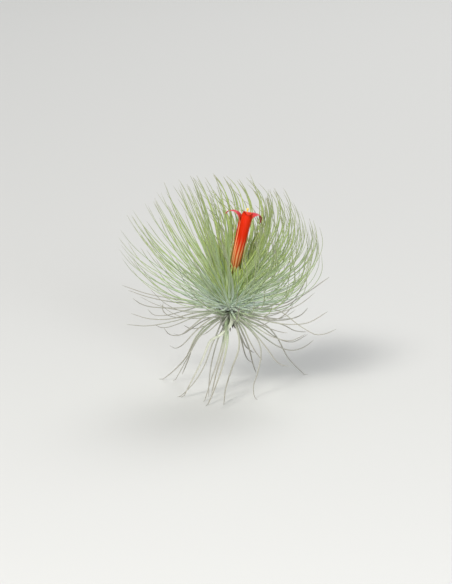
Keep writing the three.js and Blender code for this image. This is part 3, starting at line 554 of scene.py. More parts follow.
def nearestShares(a, b, c, d):
    # how far along each of two straight pieces, a to b and c to d, they come nearest to each other
    u, v, w = b - a, d - c, a - c
    uu, uv, vv = (u * u).sum(1), (u * v).sum(1), (v * v).sum(1)
    uw, vw = (u * w).sum(1), (v * w).sum(1)
    bottom = uu * vv - uv * uv
    crossing = bottom > 1e-9
    s = np.where(crossing, np.clip((uv * vw - vv * uw) / np.where(crossing, bottom, 1), 0, 1), 0.5)
    t = np.clip((uv * s + vw) / vv, 0, 1)
    return np.clip((uv * t - uw) / uu, 0, 1), t


def settle(leaf):
    # keeps a leaf above the surface, or its tip on it
    last = len(leaf["points"]) - 1
    floor = solidRadius(np.arange(last + 1) / last) + oldLeafSizes["surfaceGap"]
    if leaf["rests"]:
        floor[-2:] = oldLeafSizes["restHeight"]
    leaf["points"][:, 2] = np.maximum(leaf["points"][:, 2], floor - crownHeight)


def bendClear(leaves, rounds, heldCount=0):
    # bends leaves until none crosses another or a solid; the first heldCount leaves stay as they are
    counts = np.array([len(leaf["points"]) - 1 for leaf in leaves])
    firstPoint = np.concatenate([[0], np.cumsum(counts + 1)[:-1]])
    own = np.repeat(np.arange(len(leaves)), counts)
    place = np.concatenate([np.arange(count) for count in counts])
    at = firstPoint[own] + place
    parts = counts[own]
    nodes = np.array([leaf["node"] for leaf in leaves])[own]
    points = np.concatenate([leaf["points"] for leaf in leaves])
    held = np.repeat(np.arange(len(leaves)) < heldCount, counts + 1)
    solids = solidsToClear()
    free = np.nonzero(own >= heldCount)[0]
    joined = (nodes[:, None] == nodes[free]) & ((place[:, None] == 0) | (place[free] == 0))
    allowed = (own[:, None] < own[free]) & ~joined

    def push(moves, which, share, by):
        near = np.minimum(1, place[which] / 2) * (1 - share)
        far = np.minimum(1, (place[which] + 1) / 2) * share
        weight = near * near + far * far + clearSizes["rootHold"]
        np.add.at(moves, at[which], by * (near / weight)[:, None])
        np.add.at(moves, at[which] + 1, by * (far / weight)[:, None])

    for _ in range(rounds):
        worst = 0
        moves = np.zeros_like(points)
        for low, high, radii, owner in solids:
            which = np.nonzero(nodes != owner)[0]
            a, b = points[at[which]], points[at[which] + 1]
            s, t = nearestShares(a, b, low[None, :], high[None, :])
            apart = mix(a, b, s[:, None]) - mix(low, high, t[:, None])
            distance = np.linalg.norm(apart, axis=1)
            radius = solidRadius((place[which] + s) / parts[which])
            lack = mix(*radii, t) + radius + clearSizes["gap"] - distance
            hit = lack > 0
            if hit.any():
                worst = max(worst, lack[hit].max())
                by = apart[hit] / distance[hit, None] * lack[hit, None] * clearSizes["offSolid"]
                push(moves, which[hit], s[hit], by)
        a, b = points[at], points[at + 1]
        middle, half = (a + b) / 2, np.linalg.norm(b - a, axis=1) / 2
        square = (middle * middle).sum(1)
        squares = square[:, None] + square[free] - 2 * middle @ middle[free].T
        one, other = np.nonzero(allowed & (squares < (half[:, None] + half[free] + clearSizes["near"]) ** 2))
        other = free[other]
        s, t = nearestShares(a[one], b[one], a[other], b[other])
        apart = mix(a[one], b[one], s[:, None]) - mix(a[other], b[other], t[:, None])
        distance = np.linalg.norm(apart, axis=1)
        need = solidRadius((place[one] + s) / parts[one]) + solidRadius((place[other] + t) / parts[other])
        lack = need + clearSizes["gap"] - distance
        hit = lack > 0
        if hit.any():
            worst = max(worst, lack[hit].max())
            one, other, s, t, apart = one[hit], other[hit], s[hit], t[hit], apart[hit]
            crossed = np.cross(b[one] - a[one], b[other] - a[other])
            apart = np.where(distance[hit, None] < clearSizes["crossed"], crossed, apart)
            by = apart / np.linalg.norm(apart, axis=1)[:, None] * lack[hit, None] * clearSizes["offLeaf"]
            push(moves, one, s, by)
            push(moves, other, t, -by)
        length = np.linalg.norm(moves, axis=1)
        moves *= np.minimum(1, clearSizes["longestMove"] / np.maximum(length, 1e-9))[:, None]
        points = points + np.where(held[:, None], 0, moves)
        for leaf, first, count in zip(leaves, firstPoint, counts):
            leaf["points"] = points[first:first + count + 1].copy()
            settle(leaf)
        points = np.concatenate([leaf["points"] for leaf in leaves])
        if worst < clearSizes["enough"]:
            break


leaves = [oldLeaf(k, route) for k, route in enumerate(oldLeafSizes["routes"])]
leaves += [greenLeaf(k) for k in range(leafSizes["green"])]
for leaf in leaves:
    settle(leaf)
bendClear(leaves, clearSizes["rounds"])
print("leaf lines bent clear:", len(leaves))


# Fine leaves that the solids leave out: long ones bent clear of the others, short ones that fill the crown

fineLeafSizes = {
    "firstNumber": 300, "firstShortNumber": 1300, "steps": 7,
    "long": [
        {"count": 60, "lengths": (46, 70), "start": (70, 4), "levels": (15, 19.6), "azimuth": 31,
         "width": 0.72, "points": 30},
        {"count": 48, "lengths": (46, 76), "start": (98, 84), "levels": (0.8, 4), "azimuth": 8,
         "width": 0.8, "points": 26},
        {"count": 34, "lengths": (68, 86), "start": (86, 46), "levels": (4, 14), "azimuth": 2, "span": 96,
         "width": 0.72, "points": 30},
    ],
    "short": [
        {"count": 200, "lengths": (16, 38), "start": (86, 14), "levels": (1.6, 19.4), "azimuth": 75,
         "width": 0.62, "points": 18},
        {"count": 110, "lengths": (8, 21), "start": (88, 6), "levels": (2.4, 20.2), "azimuth": 140,
         "width": 0.5, "points": 14},
        {"count": 270, "lengths": (11, 24), "start": (58, 16), "levels": (0.6, 17), "azimuth": 67,
         "width": 0.46, "points": 12, "frost": 0.9},
        # these short leaves at the top of the crown carry the glow: yellow-green of their own, partly painted
        # light
        {"count": 150, "lengths": (9, 23), "start": (44, 6), "levels": (14, 20.3), "azimuth": 20,
         "width": 0.46, "points": 12, "glow": 0.85},
    ],
}
# pale leaves that lie along the flower: azimuth, and [distance, radius] on its axis
besideSizes = {
    "firstNumber": 1200, "level": 18.8, "points": 9, "width": 0.6, "pale": 0.75,
    "routes": [
        (211, [(11, 4.8), (25, 5.4), (38, 6.6), (47.5, 8.2)]),
        (-40, [(11, 4.8), (22, 5.4), (34, 5.8), (44, 6.4)]),
    ],
}
# short withered leaves that sag, and lift and sway in shares of their length
witheredSizes = {
    "firstNumber": 800, "count": 22, "lengths": (40, 62), "width": 0.7, "azimuth": 12, "points": 8,
    "levels": (-4, 1), "sag": (-0.02, 0.42), "sagPower": 1.3, "lift": (0.1, 0.42), "liftPower": 3.4,
    "sway": (-0.2, 0.2),
}


def fineLeaf(k, j, share, sort):
    # leaf k, the j-th of its sort, at a share of the way through the sort's levels
    azimuth = j * leafSizes["goldenAngle"] + sort["azimuth"]
    if "span" in sort:
        azimuth = sort["azimuth"] + (draw(k, 8) - 0.5) * sort["span"]
    polar = mix(*sort["start"], math.sqrt(share)) + (draw(k, 2) - 0.5) * leafSizes["startScatter"]
    level = mix(*sort["levels"], share)
    line = grownLeaf(k, azimuth, polar, level, mix(*sort["lengths"], draw(k, 4)))
    return {
        "node": "outer_leaves" if level < leafSizes["outerTop"] else "heart_leaves", "rests": False,
        "points": spread(line, fineLeafSizes["steps"]), "azimuth": azimuth, "level": level, "k": k,
        "width": sort["width"], "count": sort["points"],
        "frost": sort.get("frost", 0.0), "glow": sort.get("glow", 0.0),
    }


def leafBesideFlower(i, azimuth, route):
    level = besideSizes["level"]
    points = np.array([rootAt(azimuth, level)] + [flowerPoint(*place, azimuth) for place in route])
    return {
        "node": "heart_leaves", "rests": False, "k": besideSizes["firstNumber"] + i,
        "points": smoothLine(points, np.linspace(0, 1, besideSizes["points"])),
        "azimuth": azimuth, "level": level, "width": besideSizes["width"], "pale": besideSizes["pale"],
    }


def witheredLeaf(j):
    sizes = witheredSizes
    k = sizes["firstNumber"] + j
    outward = direction(j * leafSizes["goldenAngle"] + sizes["azimuth"], 90)
    side = np.array([-outward[1], outward[0], 0])
    length = mix(*sizes["lengths"], draw(k, 4))
    salts = {"sag": 2, "lift": 3, "sway": 5, "levels": 6}
    sag, lift, sway, level = (mix(*sizes[label], draw(k, salt)) for label, salt in salts.items())
    share = np.linspace(0, 1, sizes["points"])[:, None]
    rise = -sag * share ** sizes["sagPower"] + lift * share ** sizes["liftPower"]
    points = (outward * share + side * (sway * share ** 2)) * length
    points = points + np.array([0, 0, 1.0]) * (rise * length + level)
    return {"node": "old_leaves", "rests": False, "points": points, "k": k, "width": sizes["width"]}


def fineLeaves(number, sorts):
    # all leaves of these sorts, numbered in a row
    made = []
    for sort in sorts:
        for j in range(sort["count"]):
            made.append(fineLeaf(number + len(made), j, (j + 0.5) / sort["count"], sort))
    return made


solidLeafCount = len(leaves)
leaves += fineLeaves(fineLeafSizes["firstNumber"], fineLeafSizes["long"])
leaves += [witheredLeaf(j) for j in range(witheredSizes["count"])]
leaves += [leafBesideFlower(i, *leaf) for i, leaf in enumerate(besideSizes["routes"])]
for leaf in leaves[solidLeafCount:]:
    settle(leaf)
bendClear(leaves, clearSizes["fineRounds"], solidLeafCount)
leaves += fineLeaves(fineLeafSizes["firstShortNumber"], fineLeafSizes["short"])
print("fine leaves added:", len(leaves) - solidLeafCount)


# Rails: what the leaf tree sweeps along, one line of points for each leaf

railSizes = {
    "points": 30, "crowding": 1.3, "oldCrowding": 1.15, "oldFacing": (0, 0.25, 1),
    # where a leaf lies on the crown before it leaves it, and how its sheath narrows to the blade
    "sheathLength": 9, "lowest": 0.2, "sheathPlaces": (0, 0.35, 0.7, 0.95), "sheathLift": (0.15, 0.3),
    "footLift": 0.4, "leaving": 3.4, "sheathFade": 11, "oldSheathFade": 7,
    # tips over the flower hook to the left: how many degrees, and which leaves do so
    "hook": 38, "fineHook": 60, "hookFrom": 0.5, "hookMiddle": 0.42, "hookSpread": 0.52, "hookedLength": 42,
}
# what each point of a rail says of its leaf, besides its place and facing
railValues = ("along", "wrap", "age", "tint", "size", "dry", "pale", "frost", "glow")


def eased(share):
    return share * share * (3 - 2 * share)


def carryFacing(points, first):
    # the direction of a leaf's upper side, carried along its line without twist
    tangents = np.gradient(points, axis=0)
    tangents /= np.linalg.norm(tangents, axis=1)[:, None]
    facing = [unit(first - tangents[0] * (first @ tangents[0]))]
    for tangent in tangents[1:]:
        facing.append(unit(facing[-1] - tangent * (facing[-1] @ tangent)))
    return np.array(facing)


def hookTip(line, leaf):
    # turns the outer part of a long leaf over the flower further to the light, unless that hides the flower
    heading = unit(line[len(line) // 2] - line[len(line) // 4])
    side = (heading[0] - railSizes["hookMiddle"]) / railSizes["hookSpread"]
    most = railSizes["fineHook" if "width" in leaf else "hook"]
    most *= math.exp(-side * side) * max(0, heading[2]) ** 2
    reach = reachAlong(line)[1:]
    if reach[-1] < railSizes["hookedLength"]:
        return line
    share = np.clip((reach / reach[-1] - railSizes["hookFrom"]) / (1 - railSizes["hookFrom"]), 0, 1)
    turn = (np.radians(most) * share ** 2)[:, None]
    axis = unit(np.cross(heading, light))
    steps = np.diff(line, axis=0)
    unturned = axis * (steps @ axis)[:, None]
    steps = unturned + (steps - unturned) * np.cos(turn) + np.cross(axis, steps) * np.sin(turn)
    hooked = np.vstack([line[:1], line[0] + np.cumsum(steps, axis=0)])
    return line if coversFlower(hooked) else hooked


def greenRail(leaf):
    # up the crown under the leaf's sheath, and then out along its line
    azimuth, level, points = leaf["azimuth"], leaf["level"], leaf["points"]
    outward = direction(azimuth, 90)
    lowest = max(level - railSizes["sheathLength"], railSizes["lowest"])
    leastLift, moreLift = railSizes["sheathLift"]
    lift = leastLift + moreLift * draw(leaf["k"], 11)
    sheath = []
    for share in railSizes["sheathPlaces"]:
        height = mix(lowest, level, share)
        radius = crownRadius(height) + lift * mix(railSizes["footLift"], 1, share)
        sheath.append(outward * radius + np.array([0, 0, height]))
    leaving = points[0] + unit(points[1] - points[0]) * railSizes["leaving"]
    path = np.vstack([sheath, leaving, points[1:]])
    shares = np.linspace(0, 1, leaf.get("count", railSizes["points"])) ** railSizes["crowding"]
    line = hookTip(evenly(lambda t: smoothLine(path, t), shares), leaf)
    reach = reachAlong(line)
    rootLength = level - lowest
    along = np.clip((reach - rootLength) / (reach[-1] - rootLength), 0, 1)
    wrap = 1 - np.clip((reach - rootLength) / railSizes["sheathFade"], 0, 1)
    return {"line": line, "facing": carryFacing(line, -outward), "along": along, "wrap": eased(wrap)}


def oldRail(leaf):
    shares = np.linspace(0, 1, railSizes["points"]) ** railSizes["oldCrowding"]
    line = evenly(lambda t: smoothLine(leaf["points"], t), shares)
    reach = reachAlong(line)
    wrap = 1 - np.clip(reach / railSizes["oldSheathFade"], 0, 1)
    facing = carryFacing(line, np.array(railSizes["oldFacing"]))
    return {"line": line, "facing": facing, "along": reach / reach[-1], "wrap": wrap}


def railMesh(name, rails):
    points = np.concatenate([rail["line"] for rail in rails])
    edges = []
    start = 0
    for rail in rails:
        count = len(rail["line"])
        edges += [(start + i, start + i + 1) for i in range(count - 1)]
        start += count
    mesh = bpy.data.meshes.new(name)
    mesh.from_pydata(atCrown(points), edges, [])
    facing = mesh.attributes.new("facing", "FLOAT_VECTOR", "POINT")
    facing.data.foreach_set("vector", np.concatenate([rail["facing"] for rail in rails]).ravel())
    for label in railValues:
        values = [np.broadcast_to(rail.get(label, 0.0), len(rail["line"])) for rail in rails]
        mesh.attributes.new(label, "FLOAT", "POINT").data.foreach_set("value", np.concatenate(values))
    return mesh


# The leaf tree: sweeps a channelled section along each rail

leafSection = {"tipStart": 30, "tipNarrowing": 0.7, "channelFade": 0.8}
helperAttributes = ("middle", "heading", "corner", "facing")


def makeLeafTree():
    tree = bpy.data.node_groups.new("leaf sweep", "GeometryNodeTree")
    face = tree.interface
    face.new_socket("Geometry", in_out="INPUT", socket_type="NodeSocketGeometry")
    floats = ("Root Width", "Tip Width", "Taper", "Sheath Width", "Thickness", "Sheath Thickness", "Channel")
    for label in floats:
        face.new_socket(label, in_out="INPUT", socket_type="NodeSocketFloat")
    face.new_socket("Sides", in_out="INPUT", socket_type="NodeSocketInt")
    face.new_socket("Material", in_out="INPUT", socket_type="NodeSocketMaterial")
    face.new_socket("Geometry", in_out="OUTPUT", socket_type="NodeSocketGeometry")
    net = Net(tree)
    given = tree.nodes.new("NodeGroupInput")
    inputs = {socket.name: Wire(net, socket) for socket in given.outputs if socket.name}

    def named(label, kind="FLOAT"):
        return net.add("GeometryNodeInputNamedAttribute", {"data_type": kind}, {"Name": label})

    def vectorMaths(operation, *vectors):
        return net.add("ShaderNodeVectorMath", {"operation": operation}, dict(enumerate(vectors)))

    def store(geometry, label, value, kind="FLOAT"):
        sockets = {"Geometry": geometry, "Name": label, "Value": value}
        return net.add("GeometryNodeStoreNamedAttribute", {"data_type": kind, "domain": "POINT"}, sockets)

    rail = net.add("GeometryNodeMeshToCurve", {}, {"Mesh": inputs["Geometry"]})
    rail = store(rail, "middle", net.add("GeometryNodeInputPosition"), "FLOAT_VECTOR")
    rail = store(rail, "heading", net.add("GeometryNodeInputTangent"), "FLOAT_VECTOR")
    section = net.add("GeometryNodeCurvePrimitiveCircle", {}, {"Resolution": inputs["Sides"], "Radius": 1.0})
    section = store(section, "corner", net.add("GeometryNodeInputPosition"), "FLOAT_VECTOR")
    sockets = {"Curve": rail, "Profile Curve": section, "Fill Caps": True}
    skin = net.add("GeometryNodeCurveToMesh", {}, sockets)
    along, wrap, size = named("along"), named("wrap"), named("size")
    facing = named("facing", "FLOAT_VECTOR")
    corner = named("corner", "FLOAT_VECTOR")
    across = net.add("ShaderNodeSeparateXYZ", {}, {"Vector": corner}, "X")
    rise = net.add("ShaderNodeSeparateXYZ", {}, {"Vector": corner}, "Y")
    side = vectorMaths("NORMALIZE", vectorMaths("CROSS_PRODUCT", facing, named("heading", "FLOAT_VECTOR")))
    narrow = along ** inputs["Taper"]
    blade = inputs["Root Width"] * (1 - narrow) + inputs["Tip Width"] * narrow
    width = (blade * (1 - wrap) + inputs["Sheath Width"] * wrap) * size
    width = width * (1 - along ** leafSection["tipStart"] * leafSection["tipNarrowing"])
    thickness = width * inputs["Thickness"] * (1 - wrap) + inputs["Sheath Thickness"] * wrap
    channel = across * across * inputs["Channel"] * width * (1 - along * leafSection["channelFade"])
    place = named("middle", "FLOAT_VECTOR") + side * (across * width) + facing * (rise * thickness + channel)
    skin = net.add("GeometryNodeSetPosition", {}, {"Geometry": skin, "Position": place})
    skin = store(skin, "edge", across)
    skin = store(skin, "upper", rise)
    skin = net.add("GeometryNodeSetShadeSmooth", {}, {"Geometry": skin})
    skin = net.add("GeometryNodeRealizeInstances", {}, {"Geometry": skin})
    skin = net.add("GeometryNodeSetMaterial", {}, {"Geometry": skin, "Material": inputs["Material"]})
    result = tree.nodes.new("NodeGroupOutput")
    tree.links.new(skin.socket, result.inputs["Geometry"])
    return tree


leafTree = makeLeafTree()


def sweepLeaves(name, rails, sizes, material):
    holder = bpy.data.objects.new(name + "_rails", railMesh(name + "_rails", rails))
    bpy.context.scene.collection.objects.link(holder)
    sweep = holder.modifiers.new("sweep", "NODES")
    sweep.node_group = leafTree
    for socket in leafTree.interface.items_tree:
        if socket.in_out == "INPUT" and socket.name in sizes:
            sweep[socket.identifier] = sizes[socket.name]
        if socket.name == "Material":
            sweep[socket.identifier] = material
    bpy.context.view_layer.update()
    swept = holder.evaluated_get(bpy.context.evaluated_depsgraph_get())
    mesh = bpy.data.meshes.new_from_object(swept)
    mesh.name = name
    holder.modifiers.remove(sweep)
    bpy.data.objects.remove(holder)
    for label in helperAttributes:
        mesh.attributes.remove(mesh.attributes[label])
    return mesh


# Finishes

def newFinish(name):
    material = bpy.data.materials.new(name)
    material.use_nodes = True
    material.node_tree.nodes.clear()
    return material, Net(material.node_tree)


def closeFinish(net, sockets):
    skin = net.add("ShaderNodeBsdfPrincipled", {}, sockets)
    net.add("ShaderNodeOutputMaterial", {}, {"Surface": skin})


def objectPlace(net):
    return net.add("ShaderNodeTexCoord", {}, {}, "Object")


def noise(net, scale, detail=2.0):
    sockets = {"Vector": objectPlace(net), "Scale": scale, "Detail": detail}
    return net.add("ShaderNodeTexNoise", {}, sockets, "Fac")


def ridges(net, strength, depth, height):
    # a bump, its depth in millimetres
    return net.add("ShaderNodeBump", {}, {"Strength": strength, "Distance": depth * mm, "Height": height})


# colours from root to tip of old and young leaves, and tones that lie over them
leafFinishes = {
    "green": {
        "old": [
            (0.0, (232, 240, 238)), (0.2, (208, 224, 216)), (0.4, (178, 202, 170)), (0.64, (152, 174, 124)),
            (0.85, (138, 150, 98)), (1.0, (146, 144, 118)),
        ],
        "young": [
            (0.0, (228, 236, 196)), (0.2, (208, 226, 140)), (0.4, (182, 206, 112)), (0.64, (154, 178, 88)),
            (0.85, (140, 154, 86)), (1.0, (146, 144, 114)),
        ],
        "ageContrast": 1.3, "tintContrast": 0.3,
        # a warm tone that starts and ends along the leaf
        "warm": (176, 188, 76), "warmShare": 0.35, "warmStart": (0.1, 0.4), "warmEnd": (0.7, 0.95),
        # painted shade: the lower side of each leaf is darkened as if in shade, and single leaves are darker
        # at random, both less so near the root
        "shadeAndDarkTone": (0.02, 0.035, 0.015), "shadeAndDarkToneShare": 0.6, "paintedLowerShade": 0.44, "paintedLowerShadeSpan": (-0.9, 0.2),
        "tintShade": 0.3, "rootShade": 0.3, "rootSpan": (0.04, 0.35),
        # glow is a bright yellow-green, partly the young leaves' colour and partly painted light
        "pale": (240, 206, 150), "frost": (176, 200, 192), "glow": (226, 246, 126), "dry": (92, 92, 78),
        "scales": (224, 230, 220), "scaleSize": 2600, "scaleCover": 0.3, "roughness": 0.58,
    },
    "dry": {
        "blade": [(0.0, (158, 160, 142)), (0.25, (166, 166, 152)), (1.0, (136, 132, 120))],
        "green": (150, 172, 126), "greenShare": 0.9, "greenEnd": (0.05, 0.6), "greenTints": (0.2, 0.85),
        "blotch": (128, 116, 96), "blotchShare": 0.22, "blotchSize": 260, "blotchSpan": (0.35, 0.8),
        "pale": (196, 198, 182), "paleShare": 0.8, "stem": (58, 50, 40),
        "scales": (208, 208, 198), "scaleSize": 2200, "scaleCover": 0.36, "roughness": 0.7,
    },
}
# scales, patches of scales, pale margins and furrows, which all leaves have
skinLooks = {
    "scaleSpan": (0.46, 0.66), "patchSize": 90, "patchSpan": (0.3, 0.75), "patchShare": 0.45,
    "marginStart": 0.45, "marginShare": 0.35, "rootCover": 1.2, "tipLoss": 0.3, "mostCover": 0.75,
    "furrows": 15, "furrowHeight": 0.35, "scaleHeight": 0.4, "ridges": (0.35, 0.12),
    "scaleRoughness": 0.18, "roughnessLimits": (0.2, 0.95), "ior": 1.42,
    "sheen": 0.15, "sheenRoughness": 0.45,
}


def leafSkin(net, colour, sizes):
    # silvery scales in fine specks, lighter margins, and long shallow furrows
    looks = skinLooks
    specks = noise(net, sizes["scaleSize"], 3.0).ease(*looks["scaleSpan"])
    broad = noise(net, looks["patchSize"]).ease(*looks["patchSpan"])
    edge = net.attribute("edge")
    margin = (edge * edge).ease(looks["marginStart"], 1.0)
    cover = specks * (1 - looks["patchShare"] + broad * looks["patchShare"]) + margin * looks["marginShare"]
    cover = cover * sizes["scaleCover"] * (looks["rootCover"] - net.attribute("along") * looks["tipLoss"])
    colour = net.lay(cover.clip(0.0, looks["mostCover"]), colour, sizes["scales"])
    furrow = (edge * looks["furrows"]).sine()
    height = furrow * looks["furrowHeight"] + specks * looks["scaleHeight"]
    bump = ridges(net, *looks["ridges"], height)
    rough = sizes["roughness"] + specks * looks["scaleRoughness"]
    return {
        "Base Color": colour, "Roughness": rough.clip(*looks["roughnessLimits"]), "Normal": bump,
        "IOR": looks["ior"], "Sheen Weight": looks["sheen"], "Sheen Roughness": looks["sheenRoughness"],
    }


def greenLeafFinish(name):
    material, net = newFinish(name)
    sizes = leafFinishes["green"]
    along, age, tint = (net.attribute(label) for label in ("along", "age", "tint"))
    old = net.ramp(along, sizes["old"])
    young = net.ramp(along, sizes["young"])
    youth = age * sizes["ageContrast"] - (sizes["ageContrast"] - 1) / 2
    youth = youth + tint * sizes["tintContrast"] - sizes["tintContrast"] / 2
    colour = net.mixColour(youth.clip(), old, young)
    warm = net.lay((tint * sizes["warmShare"]).clip(), colour, sizes["warm"])
    warmth = along.ease(*sizes["warmStart"]) * (1 - along.ease(*sizes["warmEnd"]))
    colour = net.mixColour(warmth, colour, warm)
    # painted shade: the lower side of each leaf is mixed toward a dark tone, and single leaves at random too
    shadeAndDarkTone = net.mixColour(sizes["shadeAndDarkToneShare"], colour, sizes["shadeAndDarkTone"])
    paintedShadeAndTone = (1 - net.attribute("upper").ease(*sizes["paintedLowerShadeSpan"])) * sizes["paintedLowerShade"]
    paintedShadeAndTone = paintedShadeAndTone + (1 - tint) * sizes["tintShade"]
    paintedShadeAndTone = paintedShadeAndTone * (sizes["rootShade"] + along.ease(*sizes["rootSpan"]) * (1 - sizes["rootShade"]))
    colour = net.mixColour(paintedShadeAndTone.clip(), colour, shadeAndDarkTone)
    # the glow lays painted light, a bright yellow-green, over the painted shade near the flower's foot
    for label in ("frost", "glow", "pale", "dry"):
        colour = net.lay(net.attribute(label), colour, sizes[label])
    closeFinish(net, leafSkin(net, colour, sizes))
    return material


def dryLeafFinish(name):
    material, net = newFinish(name)
    sizes = leafFinishes["dry"]
    along, tint, dry = (net.attribute(label) for label in ("along", "tint", "dry"))
    colour = net.ramp(along, sizes["blade"])
    green = (1 - along.ease(*sizes["greenEnd"])) * tint.ease(*sizes["greenTints"]) * sizes["greenShare"]
    colour = net.lay(green, colour, sizes["green"])
    blotch = noise(net, sizes["blotchSize"], 4.0).ease(*sizes["blotchSpan"])
    colour = net.lay(blotch * sizes["blotchShare"], colour, sizes["blotch"])
    colour = net.lay(net.attribute("pale") * sizes["paleShare"], colour, sizes["pale"])
    colour = net.lay(dry, colour, sizes["stem"])
    closeFinish(net, leafSkin(net, colour, sizes))
    return material


# Leaf pieces

leafPieces = {
    "green": {
        "Root Width": 0.8 * mm, "Tip Width": 0.28 * mm, "Taper": 0.8, "Sheath Width": 1.15 * mm,
        "Thickness": 0.5, "Sheath Thickness": 0.24 * mm, "Channel": 0.34, "Sides": 8,
    },
    "old": {
        "Root Width": 0.9 * mm, "Tip Width": 0.35 * mm, "Taper": 0.9, "Sheath Width": 1.35 * mm,
        "Thickness": 0.6, "Sheath Thickness": 0.5 * mm, "Channel": 0.25, "Sides": 8,
    },
    # least size of a leaf against those above and what a draw adds, and the nearest old leaf from root to tip
    "greenSize": (0.88, 0.26), "oldSize": (0.95, 0.25), "nearestSize": (1.75, 1),
    # glow of leaves that pass close to the foot of the flower: their own yellow-green, partly painted light
    # that lifts the crown's shade
    "glowHeight": 9, "glowReach": 25,
    # colour ages of fine leaves up to a level, and how dry the lowest roots and the roots of old leaves are
    "fineAges": (0.15, 0.95), "fineAgeLevel": 20, "dryLevel": 4, "dryFade": 9, "dryMost": 0.8,
    "oldDryFade": 8, "oldDryMost": 0.85,
    "coreSides": 40, "coreInset": 0.25, "coreCap": 0.1,
}
# [radius, height] of the old stem
stemOutline = [
    (0, -11.6), (1.1, -11.5), (2, -10.6), (2.7, -7.5), (3.6, -4.5), (3.5, -2.2), (1.9, -0.8), (0, -0.7),
]
# torn sheaths on the old stem, and the radii and heights at which they stand
scaleSizes = {
    "count": 46, "lengths": (3.5, 7), "levels": (-10.6, -1.2), "points": 9, "rootDepth": 0.5, "size": 0.75,
    "radii": (1.1, 2, 2.7, 3.6, 3.5, 2.4), "heights": (-11.5, -10.6, -7.5, -4.5, -2.2, -1),
    # out and down in the first and the second half: a least share and what a draw adds
    "out": ((0.5, 0.25), (0.1, 0.5)), "down": (0.55, 0.8), "dry": (0.55, 0.45),
}


def turnedSolid(outline, sides):
    # a closed round body from [radius, height] pairs that start and end on the axis
    rings = np.array(outline, float)
    angles = np.linspace(0, 2 * math.pi, sides, endpoint=False)
    points, faces, starts = [], [], []
    for radius, level in rings:
        starts.append(len(points))
        points += [(radius * math.cos(a), radius * math.sin(a), level) for a in (angles if radius else [0])]
    last = len(rings) - 2
    for ring, (a, b) in enumerate(zip(starts, starts[1:])):
        for i in range(sides):
            j = (i + 1) % sides
            if ring == 0:
                faces.append((a, b + j, b + i))
            elif ring == last:
                faces.append((a + i, a + j, b))
            else:
                faces.append((a + i, a + j, b + j, b + i))
    return np.array(points), faces


def meshFrom(name, points, faces, material, values=None):
    mesh = bpy.data.meshes.new(name)
    mesh.from_pydata(points, [], faces)
    mesh.materials.append(material)
    mesh.polygons.foreach_set("use_smooth", [True] * len(mesh.polygons))
    for label, value in (values or {}).items():
        data = np.broadcast_to(np.asarray(value, np.float32), len(points))
        mesh.attributes.new(label, "FLOAT", "POINT").data.foreach_set("value", np.ascontiguousarray(data))
    mesh.update()
    return mesh


def addPiece(name, meshes, slot, *nodes):
    # joins meshes into one piece that stands for these nodes
    parts = []
    for mesh in meshes:
        part = bpy.data.objects.new(name, mesh)
        bpy.context.scene.collection.objects.link(part)
        parts.append(part)
    if len(parts) > 1:
        with bpy.context.temp_override(active_object=parts[0], selected_editable_objects=parts):
            bpy.ops.object.join()
    piece = parts[0]
    piece.name = name
    piece.data.name = name
    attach(piece, "root")
    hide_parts(*nodes)


greenFinish = greenLeafFinish("green leaf")
dryFinish = dryLeafFinish("dry leaf")


def glowAt(line):
    # leaves are yellow-green where they pass close to the foot of the flower, and painted lighter there as a
    # pool of light over the crown's shade
    apart = np.linalg.norm(line - flowerPoint(leafPieces["glowHeight"]), axis=1)
    return eased(np.clip(1 - apart / leafPieces["glowReach"], 0, 1))


def dryAt(along, fade, most):
    # a leaf is driest at its root
    return np.clip(1 - along * fade, 0, 1) * most


def sizeOf(leaf, usual, salt):
    least, more = usual
    return leaf.get("width", least) + more * draw(leaf["k"], salt)


def greenPiece(name, node, levels, slot):
    sizes = leafPieces
    rails = []
    for leaf in leaves:
        if leaf["node"] != node:
            continue
        rail = greenRail(leaf)
        k, level = leaf["k"], leaf["level"]
        rail["age"] = (k + 0.5) / leafSizes["green"]
        if k >= fineLeafSizes["firstNumber"]:
            rail["age"] = mix(*sizes["fineAges"], level / sizes["fineAgeLevel"])
        rail["tint"] = draw(k, 21)
        rail["pale"] = leaf.get("pale", 0.0)
        rail["frost"] = leaf.get("frost", 0.0)
        rail["glow"] = np.maximum(leaf.get("glow", 0.0), glowAt(rail["line"]))
        lowness = np.clip(1 - level / sizes["dryLevel"], 0, 1)
        rail["dry"] = lowness * dryAt(rail["along"], sizes["dryFade"], sizes["dryMost"])
        rail["size"] = sizeOf(leaf, sizes["greenSize"], 22)
        rails.append(rail)
    low, high = levels
    outline = [place for place in crownSizes["outline"] if low <= place[1] <= high]
    inner = [(radius - sizes["coreInset"], level) for radius, level in outline]
    bottom, top = (0, inner[0][1] - sizes["coreCap"]), (0, inner[-1][1] + sizes["coreCap"])
    core, faces = turnedSolid([bottom, *inner, top], sizes["coreSides"])
    # upper -1 gives the core the painted shade of a leaf's lower side
    values = {"along": 0.1, "age": 0.4, "tint": 0.3, "edge": 0.0, "upper": -1.0, "wrap": 1.0}
    meshes = [
        sweepLeaves(name, rails, sizes["green"], greenFinish),
        meshFrom(name + "_core", atCrown(core), faces, greenFinish, values),
    ]
    addPiece(name, meshes, slot, node)


